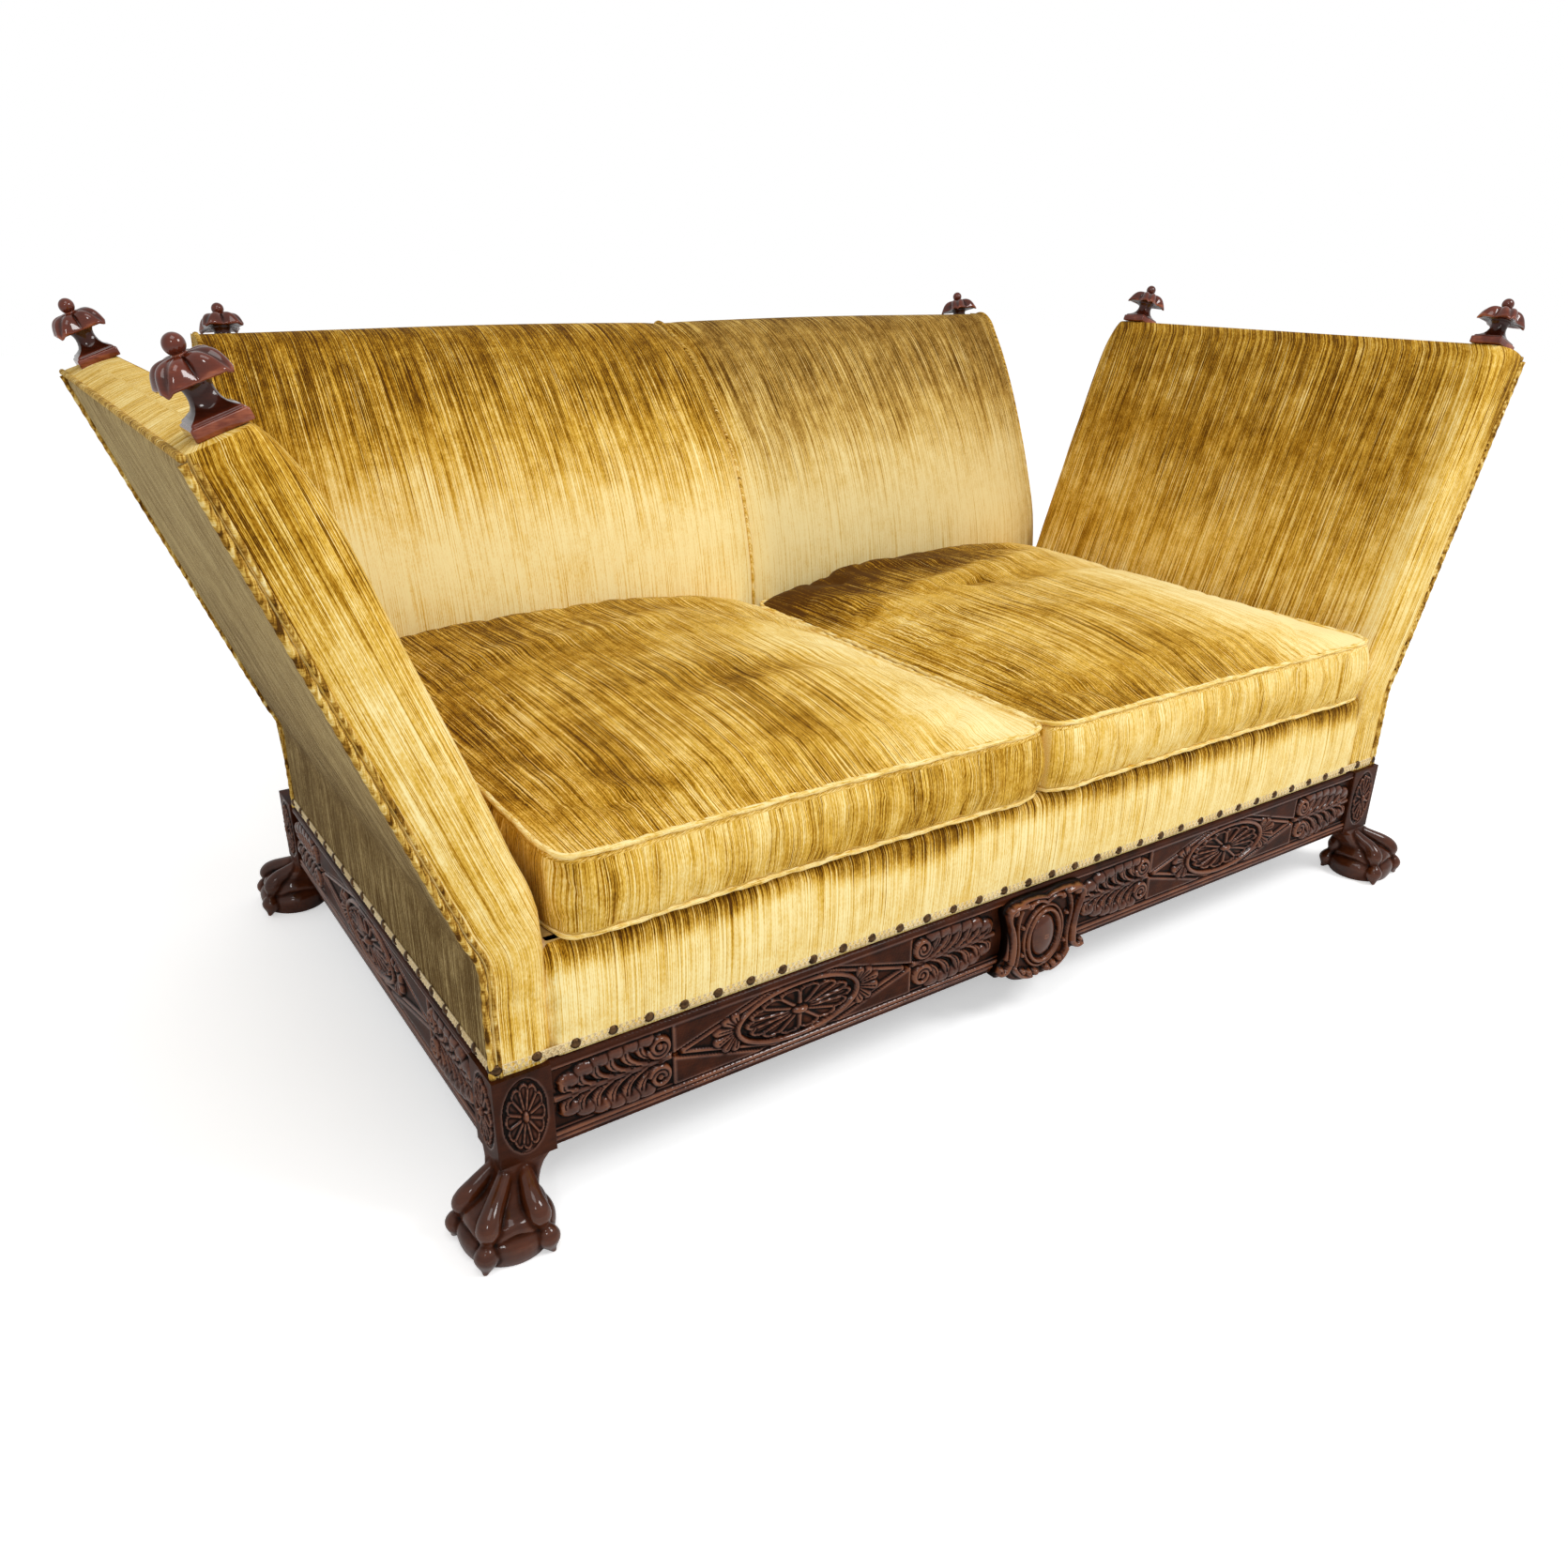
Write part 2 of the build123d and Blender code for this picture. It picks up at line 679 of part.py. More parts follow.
def build_arms():
    y_low, y_high = -frame_front, arm_rear - cover_thickness
    outside = arm_half - arm_panel_thickness
    inside = outside - arm_frame_depth
    top = arm_height - arm_top_cover
    rail_foot = top - arm_frame_width
    form = arm_form()
    panel = form & arm_box(outside, arm_half, -cover_y, cover_y, pad_foot, arm_height - arm_edge_round)
    top_rail = arm_box(inside, outside, y_low, y_high, rail_foot, top)
    cavity = arm_box(inside, outside, y_low, y_high, arm_rail_height, top)
    bottom_rail = arm_bottom_rail()
    bottom_room = arm_box(-hinge_round, outside, y_low, y_high, pad_foot, arm_rail_height)
    pad = form - panel - cavity - bottom_room
    for name, place in arm_finial_places().items():
        pad -= place * finial_room()
        top_rail -= place * finial_room()
        add_pair("arm_finial_" + name, lean_out(place * finial()))
    add_pair("arm_pad", lean_out(pad))
    add_pair("arm_outer_panel", lean_out(panel))
    add_pair("arm_top_rail", lean_out(top_rail))
    add_pair("arm_bottom_rail", lean_out(bottom_rail))
    post = arm_box(inside, outside, y_low, y_low + arm_frame_width, arm_rail_height, rail_foot)
    add_pair("arm_front_post", lean_out(post))
    add_pair("arm_rear_post", lean_out(Pos(0, y_high - y_low - arm_frame_width, 0) * post))
    pins = [hinge_cylinder(pin_radius, y - pin_length / 2, y + pin_length / 2) for y in ear_places()]
    add_pair("hinge_pins", Compound(pins))


def arm_base_section():
    # The trough that the arm's round foot turns in, with its outer wall cut down for the lowered arm
    trough = hinge_round + hinge_gap
    low = radians(arm_lowered_lean)
    pad_corner = (
        pad_foot * sin(low) + arm_half * cos(low) + shoulder_gap / 2,
        pad_foot * cos(low) - arm_half * sin(low) - shoulder_gap,
    )
    edge_up = pad_corner[1] + (arm_half - pad_corner[0]) * cos(low) / sin(low)
    wall = radians(arm_lowered_lean - trough_wall_slack_degrees)
    trough_end = (trough * cos(wall), -trough * sin(wall))
    trough_start = (-trough, 0)
    shoulder = [
        arm_at(*trough_end),
        arm_at(*pad_corner),
        arm_at(arm_half, edge_up),
        (hinge_x + arm_half, rail_top),
        (hinge_x - arm_half, rail_top),
        arm_at(-arm_half, pad_foot / 2),
        arm_at(-trough, pad_foot / 2),
        arm_at(*trough_start),
    ]
    halfway = trough * sin(radians(45))
    bowl = ThreePointArc(arm_at(*trough_start), arm_at(-halfway, -halfway), arm_at(*trough_end))
    return make_face(Polyline(*shoulder).edges() + [bowl])


def hinge_ear(y):
    disc = hinge_cylinder(ear_radius, y - ear_thickness / 2, y + ear_thickness / 2)
    stem = slab(
        (hinge_x - ear_stem_width / 2, y - ear_thickness / 2, hinge_height - ear_length),
        (hinge_x + ear_stem_width / 2, y + ear_thickness / 2, hinge_height),
    )
    return disc + stem - hinge_cylinder(pin_radius + pin_gap, y - ear_thickness, y + ear_thickness)


def build_arm_bases():
    full = prism_y(arm_base_section(), -cover_y, arm_rear + arm_rear_flare) & arm_plan()
    room = slab(
        (inner_x, -frame_front, rail_top),
        (cover_x - cover_thickness, arm_rear - cover_thickness, hinge_height + pad_foot),
    )
    rail = full & room
    pad = full - room
    ears = [hinge_ear(y) for y in ear_places()]
    for ear in ears:
        rail -= ear
    add_pair("arm_base_rail", rail)
    add_pair("arm_base_pad", pad)
    add_pair("hinge_ears", Compound(ears))


def build_gimp():
    high = rail_top + gimp_height
    out = gimp_thickness
    arm_end = arm_rear + arm_rear_flare
    side = slab((cover_x, -cover_y, rail_top), (cover_x + out, arm_end, high))
    back_side = slab((back_half_width, arm_end, rail_top), (back_half_width + out, cover_y, high))
    sides = [side, back_side]
    front = slab((-cover_x, -cover_y - out, rail_top), (cover_x, -cover_y, high))
    rear = back_box(-back_half_width, back_half_width, -out, 0, 0, gimp_height)
    pieces["gimp_braid"] = Compound([front, rear] + sides + [mirror(one, about=Plane.YZ) for one in sides])


build_base()
build_stiffening()
build_seat()
build_back()
build_arms()
build_arm_bases()
build_gimp()
add_pair("seat_cushion", cushion())

# The origin is on the floor under the middle of the whole sofa
lows, highs = [], []
for shape in pieces.values():
    box = shape.bounding_box()
    lows.append(box.min.Y)
    highs.append(box.max.Y)
shift = -(min(lows) + max(highs)) / 2

os.makedirs("parts", exist_ok=True)
for name, shape in pieces.items():
    export_step(Pos(0, shift, 0) * shape, "parts/" + name + ".step")

print("nodes", len(pieces), "moved back by", round(shift, 3))
print("arm hinge axis x, z", hinge_x, hinge_height, "deck top", deck_top, "back lean", round(back_lean, 2))
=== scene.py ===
import math
import bmesh
import bpy
import numpy as np
from mathutils import Euler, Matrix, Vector


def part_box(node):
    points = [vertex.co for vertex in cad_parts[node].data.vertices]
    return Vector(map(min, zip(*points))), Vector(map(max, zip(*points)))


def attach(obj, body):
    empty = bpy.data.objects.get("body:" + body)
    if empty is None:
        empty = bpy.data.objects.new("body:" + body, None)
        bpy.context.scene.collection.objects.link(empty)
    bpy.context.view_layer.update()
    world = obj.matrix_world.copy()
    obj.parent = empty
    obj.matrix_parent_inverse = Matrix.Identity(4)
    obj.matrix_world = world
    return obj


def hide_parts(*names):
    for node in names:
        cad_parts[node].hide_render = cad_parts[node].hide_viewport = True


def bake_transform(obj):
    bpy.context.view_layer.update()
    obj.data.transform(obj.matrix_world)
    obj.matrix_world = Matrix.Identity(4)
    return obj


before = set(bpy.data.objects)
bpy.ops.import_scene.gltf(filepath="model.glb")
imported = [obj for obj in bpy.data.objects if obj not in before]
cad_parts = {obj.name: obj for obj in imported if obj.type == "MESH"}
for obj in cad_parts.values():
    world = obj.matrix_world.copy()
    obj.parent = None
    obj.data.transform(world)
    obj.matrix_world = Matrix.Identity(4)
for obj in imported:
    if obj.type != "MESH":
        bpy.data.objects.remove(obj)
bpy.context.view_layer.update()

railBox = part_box("side_rail_right")
midY = 0.5 * (railBox[0].y + railBox[1].y)  # depth middle of the base; the pieces below are written from it
sides = (("left", -1), ("right", 1))
shades = {}


# mesh helpers
def faceOutward(data):
    form = bmesh.new()
    form.from_mesh(data)
    bmesh.ops.recalc_face_normals(form, faces=form.faces)
    form.to_mesh(data)
    form.free()


def newObject(name, verts, faces):
    data = bpy.data.meshes.new(name)
    data.from_pydata(np.asarray(verts, float).tolist(), [], [list(map(int, face)) for face in faces])
    obj = bpy.data.objects.new(name, data)
    bpy.context.scene.collection.objects.link(obj)
    return obj


def evaluated(obj):
    # the modified mesh of a trial object, which is then removed
    made = obj.evaluated_get(bpy.context.evaluated_depsgraph_get()).to_mesh()
    verts = np.zeros(len(made.vertices) * 3)
    made.vertices.foreach_get("co", verts)
    faces = [list(polygon.vertices) for polygon in made.polygons]
    data = obj.data
    bpy.data.objects.remove(obj)
    bpy.data.meshes.remove(data)
    return verts.reshape(-1, 3), faces


def makeMesh(name, verts, faces, paint, body="base", stands=(), layers=None):
    verts = np.array(verts, float)
    verts[:, 1] += midY
    obj = newObject(name, verts, faces)
    data = obj.data
    faceOutward(data)
    data.polygons.foreach_set("use_smooth", [True] * len(data.polygons))
    data.materials.append(paint)
    for layer, values in (layers or {}).items():
        values = np.asarray(values, float)
        kind = "FLOAT" if values.ndim == 1 else "FLOAT_VECTOR"
        slot = data.attributes.new(layer, kind, "POINT")
        slot.data.foreach_set("value" if kind == "FLOAT" else "vector", values.ravel())
    if body:
        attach(obj, body)
    if stands:
        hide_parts(*stands)
    return obj


def gridFaces(rows, columns, loopRows=False, loopColumns=False, first=0):
    r = np.arange(rows if loopRows else rows - 1)
    c = np.arange(columns if loopColumns else columns - 1)
    r, c = np.meshgrid(r, c, indexing="ij")
    r1, c1 = (r + 1) % rows, (c + 1) % columns
    quads = np.stack([r * columns + c, r * columns + c1, r1 * columns + c1, r1 * columns + c], -1)
    return (quads.reshape(-1, 4) + first).tolist()


def joined(parts):
    verts, faces, count = [], [], 0
    for partVerts, partFaces in parts:
        partVerts = np.asarray(partVerts, float)
        verts.append(partVerts)
        faces += [[i + count for i in face] for face in partFaces]
        count += len(partVerts)
    return np.vstack(verts), faces


def tube(path, radius, sides=8, closed=False, flat=1.0):
    path = np.asarray(path, float)
    count = len(path)
    radius = np.broadcast_to(np.asarray(radius, float), (count,))
    if closed:
        along = np.roll(path, -1, 0) - np.roll(path, 1, 0)
    else:
        along = np.gradient(path, axis=0)
    along /= np.linalg.norm(along, axis=1)[:, None] + 1e-12
    up = np.array([0.0, 0.0, 1.0]) if abs(along[0][2]) < 0.9 else np.array([1.0, 0.0, 0.0])
    side = np.zeros_like(path)
    last = np.cross(along[0], up)
    for i in range(count):
        last = last - along[i] * (last @ along[i])
        last /= np.linalg.norm(last) + 1e-12
        side[i] = last
    other = np.cross(along, side)
    turn = np.linspace(0, 2 * np.pi, sides, endpoint=False)
    ring = side[:, None] * np.cos(turn)[None, :, None] + other[:, None] * np.sin(turn)[None, :, None] * flat
    verts = (path[:, None] + ring * radius[:, None, None]).reshape(-1, 3)
    faces = gridFaces(count, sides, closed, True)
    if not closed:
        faces.append(list(range(sides))[::-1])
        faces.append([(count - 1) * sides + i for i in range(sides)])
    return verts, faces


def flipped(faces):
    return [face[::-1] for face in faces]


def mirrored(verts, faces):
    verts = np.array(verts, float)
    verts[:, 0] *= -1
    return verts, flipped(faces)


def lengths(path):
    # distance along a path up to each of its points
    return np.concatenate([[0], np.cumsum(np.linalg.norm(np.diff(path, axis=0), axis=1))])


def zoned(across, along, zone):
    # where the threads lie; the zone keeps one piece of cloth apart from the next
    return np.stack(np.broadcast_arrays(across, along, float(zone)), -1)


def step(value, low, high):
    share = np.clip((np.asarray(value, float) - low) / (high - low), 0, 1)
    return share * share * (3 - 2 * share)


def through(keys, values, at):
    # smooth curve through the values at the keys
    keys, values, at = (np.asarray(item, float) for item in (keys, values, at))
    slope = np.gradient(values, keys)
    i = np.clip(np.searchsorted(keys, at) - 1, 0, len(keys) - 2)
    gap = keys[i + 1] - keys[i]
    t = np.clip((at - keys[i]) / gap, 0, 1)
    a, b = 2 * t ** 3 - 3 * t ** 2 + 1, t ** 3 - 2 * t ** 2 + t
    return a * values[i] + b * gap * slope[i] + (1 - a) * values[i + 1] + (t ** 3 - t ** 2) * gap * slope[i + 1]


def waves(seed, points, scale, layers=3):
    # soft seeded unevenness between -1 and 1
    rng = np.random.default_rng(seed)
    total = np.zeros(len(points))
    for layer in range(layers):
        for _ in range(5):
            way = rng.normal(size=3)
            way *= (2 ** layer) / scale / np.linalg.norm(way)
            total += np.sin(points @ way * 2 * np.pi + rng.uniform(0, 6.28)) / 2 ** layer
    return total / 6


# paint
class Wire:
    # a socket that can be added, multiplied and so on
    def __init__(self, paint, socket):
        self.paint, self.socket = paint, socket

    def maths(self, kind, other=None, swap=False):
        parts = [self, other] if not swap else [other, self]
        parts = [part for part in parts if part is not None]
        return self.paint.node("ShaderNodeMath", {"operation": kind}, dict(enumerate(parts)))

    def __add__(self, other):
        return self.maths("ADD", other)

    def __radd__(self, other):
        return self.maths("ADD", other)

    def __sub__(self, other):
        return self.maths("SUBTRACT", other)

    def __rsub__(self, other):
        return self.maths("SUBTRACT", other, True)

    def __mul__(self, other):
        return self.maths("MULTIPLY", other)

    def __rmul__(self, other):
        return self.maths("MULTIPLY", other)

    def __truediv__(self, other):
        return self.maths("DIVIDE", other)

    def __pow__(self, other):
        return self.maths("POWER", other)


class Paint:
    def __init__(self, name, **fixed):
        self.material = bpy.data.materials.new(name)
        self.material.use_nodes = True
        self.tree = self.material.node_tree
        self.tree.nodes.clear()
        self.end = self.tree.nodes.new("ShaderNodeOutputMaterial")
        self.shader = self.tree.nodes.new("ShaderNodeBsdfPrincipled")
        self.tree.links.new(self.shader.outputs[0], self.end.inputs[0])
        for socket, value in fixed.items():
            self.shader.inputs[socket.replace("_", " ")].default_value = value
        shades[name] = self.material

    def node(self, kind, settings=None, values=None, out=0):
        made = self.tree.nodes.new(kind)
        for key, value in (settings or {}).items():
            if key == "stops":
                ramp = made.color_ramp
                while len(ramp.elements) < len(value):
                    ramp.elements.new(0.5)
                for element, (place, colour) in zip(ramp.elements, value):
                    element.position, element.color = place, (*colour, 1.0)
            else:
                setattr(made, key, value)
        for key, value in (values or {}).items():
            socket = made.inputs[key]
            if isinstance(value, Wire):
                self.tree.links.new(value.socket, socket)
            else:
                socket.default_value = value
        return Wire(self, made.outputs[out])

    def place(self):
        return self.node("ShaderNodeTexCoord", {}, {}, "Object")

    def layer(self, name, out="Fac"):
        return self.node("ShaderNodeAttribute", {"attribute_name": name}, {}, out)

    def stretched(self, vector, amounts):
        return self.node("ShaderNodeVectorMath", {"operation": "MULTIPLY"}, {0: vector, 1: amounts})

    def noise(self, vector, scale=1.0, detail=3.0, rough=0.5):
        return self.node("ShaderNodeTexNoise", {}, {"Vector": vector, "Scale": scale, "Detail": detail,
                                                    "Roughness": rough})

    def ramp(self, value, stops):
        return self.node("ShaderNodeValToRGB", {"stops": stops}, {0: value})

    def ease(self, value, low, high):
        return self.node("ShaderNodeMapRange", {"interpolation_type": "SMOOTHSTEP"},
                         {"Value": value, "From Min": low, "From Max": high})

    def blendColour(self, share, first, second, kind="MIX"):
        return self.node("ShaderNodeMix", {"data_type": "RGBA", "blend_type": kind},
                         {"Factor": share, 6: first, 7: second}, 2)

    def feed(self, socket, wire):
        self.tree.links.new(wire.socket, self.shader.inputs[socket])

    def bump(self, height, strength, distance):
        self.feed("Normal", self.node("ShaderNodeBump", {}, {"Height": height, "Strength": strength,
                                                             "Distance": distance}))


def rgb(red, green, blue):
    # a display colour, 0 to 255, as the linear colour that Blender wants
    return tuple((c / 255 / 12.92) if c / 255 <= 0.04045 else ((c / 255 + 0.055) / 1.055) ** 2.4
                 for c in (red, green, blue))


def rgba(*colour):
    return (*rgb(*colour), 1.0)


velvetLook = {
    "pale": rgb(253, 235, 172),
    "gold": rgb(230, 186, 74),
    "bronze": rgb(168, 116, 10),
    "brown": rgb(80, 46, 2),
    "greyShadePale": rgb(196, 176, 128),
    "greyShadeDark": rgb(84, 62, 22),
    "thread": rgba(84, 46, 10),
    # each grain: size of its cells across, along and between zones, detail, roughness
    "grains": {
        "hair": ((1300, 5, 300), 2, 0.5), "fine": ((500, 2.6, 300), 2, 0.5), "broad": ((70, 3, 40), 2, 0.5),
        "slub": ((340, 4, 200), 2, 0.5), "patch": ((15, 9, 6), 5, 0.68), "mottle": ((70, 42, 30), 4, 0.65),
        "fleck": ((700, 200, 300), 2, 0.5),
    },
    "shares": (("mottle", 0.55), ("broad", 0.30), ("fine", 1.25), ("hair", 1.90), ("fleck", 0.6)),
}


def velvetPaint():
    p = Paint("old gold velvet", Roughness=0.85, Sheen_Weight=0.05, Sheen_Roughness=0.4,
              Sheen_Tint=rgba(255, 230, 170))
    p.shader.inputs["Specular IOR Level"].default_value = 0.10
    cloth = p.layer("cloth", "Vector")
    # the shade layer darkens the cloth from pale gold to brown: painted shade and painted sheen
    shade = p.layer("shade")
    # this layer greys the cloth; on the outer faces of the arms it is painted shade
    worn = p.layer("worn")
    look = velvetLook
    grain = {name: p.noise(p.stretched(cloth, size), detail=detail, rough=rough)
             for name, (size, detail, rough) in look["grains"].items()}
    slub = grain["slub"]
    depth = shade * 0.80 + 0.72  # a dark nap shows its threads more
    mix = (grain["patch"] - 0.5) * 0.75
    for name, share in look["shares"]:
        mix = mix + (grain[name] - 0.5) * share
    tone = shade + 0.06 + depth * (mix + p.ease(slub, 0.56, 0.66) * 0.24)
    gold = p.ramp(tone, [(0.0, look["pale"]), (0.34, look["gold"]), (0.68, look["bronze"]), (1.0, look["brown"])])
    grey = p.ramp(tone, [(0.1, look["greyShadePale"]), (0.9, look["greyShadeDark"])])
    colour = p.blendColour(worn, gold, grey)
    threads = p.ease(slub, 0.60, 0.70) * (shade * 0.32)
    colour = p.blendColour(threads, colour, look["thread"])
    p.feed("Base Color", colour)
    p.bump(grain["fine"] * 0.7 + slub * 0.3 + grain["fleck"] * 0.3, 0.35, 0.0006)
    return p.material


def carvedPaint(name, low, mid, high, glint, rough=0.34, coat=0.55, gloss=(0.36, 0.66)):
    # dark polish; near black deep in the carving as painted shade, lighter on its high points, partly worn polish and
    # partly painted highlight
    p = Paint(name, Coat_Roughness=0.07, Coat_IOR=1.5)
    p.shader.inputs["Specular IOR Level"].default_value = 0.05
    place = p.place()
    relief = p.layer("relief")
    grain = p.noise(p.stretched(place, (60, 60, 420)), detail=4, rough=0.6)
    cloud = p.noise(place, scale=26, detail=3)
    pores = p.noise(p.stretched(place, (500, 500, 1500)), detail=2)
    tone = relief + (grain - 0.5) * 0.34 + (cloud - 0.5) * 0.85
    colour = p.ramp(tone, [(0.08, low), (0.45, mid), (0.80, high), (1.0, glint)])
    p.feed("Base Color", colour)
    p.feed("Coat Weight", p.ease(relief, *gloss) * coat + 0.05)
    p.feed("Roughness", rough + (cloud - 0.5) * 0.22 + (1 - relief) * 0.12)
    p.bump(pores * 0.5 + grain, 0.18, 0.0007)
    return p.material


def plainWoodPaint():
    p = Paint("sawn frame wood", Roughness=0.7)
    place = p.place()
    rings = p.noise(p.stretched(place, (14, 120, 120)), detail=5, rough=0.6)
    fibre = p.noise(p.stretched(place, (30, 700, 700)), detail=2)
    p.feed("Base Color", p.ramp(rings * 0.8 + fibre * 0.2, [(0.25, rgb(150, 112, 70)), (0.5, rgb(196, 158, 108)),
                                                            (0.75, rgb(214, 182, 134))]))
    p.bump(rings + fibre * 0.5, 0.3, 0.001)
    return p.material


def wovenPaint(name, dark, light, pitch):
    p = Paint(name, Roughness=0.9)
    place = p.place()
    weft, warp = (p.node("ShaderNodeTexWave", {"bands_direction": way},
                         {"Vector": place, "Scale": 1 / pitch, "Distortion": 1.5}) for way in "XY")
    fuzz = p.noise(place, scale=240, detail=3)
    weave = weft * 0.5 + warp * 0.5
    p.feed("Base Color", p.ramp(weave * 0.6 + fuzz * 0.4, [(0.2, dark), (0.75, light)]))
    p.bump(weave + fuzz * 0.4, 0.4, 0.001)
    return p.material


def braidPaint():
    p = Paint("cream gimp braid", Roughness=0.75, Sheen_Weight=0.2)
    place = p.place()
    twist = p.noise(place, scale=900, detail=2)
    fade = p.noise(place, scale=18, detail=3)
    p.feed("Base Color", p.ramp(twist * 0.6 + fade * 0.4, [(0.25, rgb(150, 118, 66)), (0.48, rgb(224, 200, 148)),
                                                           (0.7, rgb(250, 236, 200))]))
    p.bump(twist, 0.4, 0.0005)
    return p.material


def metalPaint(name, dark, light, metal, rough):
    p = Paint(name, Metallic=metal)
    place = p.place()
    tarnish = p.noise(place, scale=160, detail=4)
    p.feed("Base Color", p.ramp(tarnish, [(0.3, dark), (0.65, light)]))
    p.feed("Roughness", rough + (tarnish - 0.5) * 0.3)
    p.bump(tarnish, 0.15, 0.0004)
    return p.material


velvet = velvetPaint()
carvedWood = carvedPaint("dark carved wood", rgb(10, 3, 1), rgb(60, 26, 10), rgb(84, 40, 18), rgb(118, 68, 40),
                         coat=0.75)
# the finial's lighter high and glint colours are painted highlight
finialWood = carvedPaint("finial wood", rgb(20, 7, 3), rgb(66, 24, 11), rgb(104, 42, 22), rgb(160, 88, 58),
                         rough=0.24, coat=0.95, gloss=(0.15, 0.45))
frameWood = plainWoodPaint()
webCloth = wovenPaint("jute webbing", rgb(120, 88, 50), rgb(190, 156, 104), 0.004)
deckCloth = wovenPaint("deck cloth", rgb(150, 112, 52), rgb(206, 170, 96), 0.002)
blackCloth = wovenPaint("black dust cloth", rgb(16, 16, 17), rgb(40, 40, 42), 0.002)
braid = braidPaint()
bronzeNail = metalPaint("dull bronze nail", rgb(46, 30, 18), rgb(104, 76, 46), 0.85, 0.38)
hingeSteel = metalPaint("hinge steel", rgb(110, 110, 112), rgb(160, 160, 162), 1.0, 0.42)
print("paints made:", len(shades))

for nodeName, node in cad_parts.items():
    for names, paint in (
        (("webbing",), webCloth), (("seat_deck",), deckCloth), (("dust_cover",), blackCloth),
        (("hinge_",), hingeSteel), (("gimp",), braid),
        (("front_rail", "rear_rail", "side_rail", "front_leg", "rear_leg", "centre"), carvedWood),
    ):
        if nodeName.startswith(names):
            break
    else:
        paint = frameWood
    node.data.materials.clear()
    node.data.materials.append(paint)


def velvetMesh(name, verts, faces, body, stands, cloth, shade, worn):
    count = len(verts)
    layers = {"cloth": cloth, "shade": np.broadcast_to(shade, count), "worn": np.broadcast_to(worn, count)}
    return makeMesh(name, verts, faces, velvet, body, stands, layers)


# carving as heights over a face
def bend(first, pull, last, count=9):
    t = np.linspace(0, 1, count)[:, None]
    first, pull, last = (np.asarray(point, float) for point in (first, pull, last))
    return (1 - t) ** 2 * first + 2 * t * (1 - t) * pull + t ** 2 * last


class Relief:
    def __init__(self, across, up):
        self.across, self.up = np.asarray(across, float), np.asarray(up, float)
        self.rise = np.zeros(self.across.shape)

    def profile(self, path, wide, high, power=0.5):
        path = np.asarray(path, float)
        count = len(path)
        wide = np.broadcast_to(np.asarray(wide, float), (count,))
        high = np.broadcast_to(np.asarray(high, float), (count,))
        reach = wide.max()
        near = ((self.across > path[:, 0].min() - reach) & (self.across < path[:, 0].max() + reach)
                & (self.up > path[:, 1].min() - reach) & (self.up < path[:, 1].max() + reach))
        u, v = self.across[near], self.up[near]
        best = np.zeros(u.shape)
        for i in range(count - 1):
            run = path[i + 1] - path[i]
            t = np.clip(((u - path[i, 0]) * run[0] + (v - path[i, 1]) * run[1]) / (run @ run + 1e-12), 0, 1)
            reachHere = wide[i] + (wide[i + 1] - wide[i]) * t
            away = np.hypot(u - path[i, 0] - t * run[0], v - path[i, 1] - t * run[1])
            highHere = high[i] + (high[i + 1] - high[i]) * t
            best = np.maximum(best, highHere * np.clip(1 - (away / reachHere) ** 2, 0, 1) ** power)
        return near, best

    def raised(self, path, wide, high, power=0.5):
        near, best = self.profile(path, wide, high, power)
        self.rise[near] = np.maximum(self.rise[near], best)

    def cut(self, path, wide, deep, power=0.8):
        near, best = self.profile(path, wide, deep, power)
        self.rise[near] -= best

    def knob(self, u, v, wide, tall, high):
        q = np.hypot((self.across - u) / wide, (self.up - v) / tall)
        inside = q < 1
        self.rise[inside] = np.maximum(self.rise[inside], high * np.sqrt(1 - q[inside] ** 2))

    def ring(self, u, v, wide, tall, thick, high, start=0.0, end=1.0):
        turn = np.linspace(start, end, 49) * 2 * np.pi
        self.raised(np.stack([u + wide * np.cos(turn), v + tall * np.sin(turn)], 1), thick, high)


def rosette(relief, u, v, wide, tall, petals, high):
    du, dv = (relief.across - u) / wide, (relief.up - v) / tall
    q = np.hypot(du, dv)
    here = q < 1.0
    turn, q = np.arctan2(dv, du)[here], q[here]
    phase = np.mod(turn * petals / (2 * np.pi) + 0.5, 1.0) - 0.5
    end = 0.78 + 0.19 * np.sqrt(np.clip(1 - (2 * phase) ** 2, 0, 1))
    inside = step(end - q, 0.0, 0.05)
    ribs = np.exp(-(((0.5 - np.abs(phase)) * 2 * np.pi / petals * q) / 0.045) ** 2)
    rims = np.exp(-((end - q - 0.05) / 0.055) ** 2)
    scoop = 0.30 + 0.18 * np.cos(phase * 2 * np.pi) * q
    rise = high * inside * np.maximum(scoop * 0.8 + 0.62 * ribs * step(q, 0.1, 0.3), 0.80 * rims)
    relief.rise[here] = np.maximum(relief.rise[here], rise)
    relief.knob(u, v, wide * 0.15, tall * 0.17, high * 1.5)


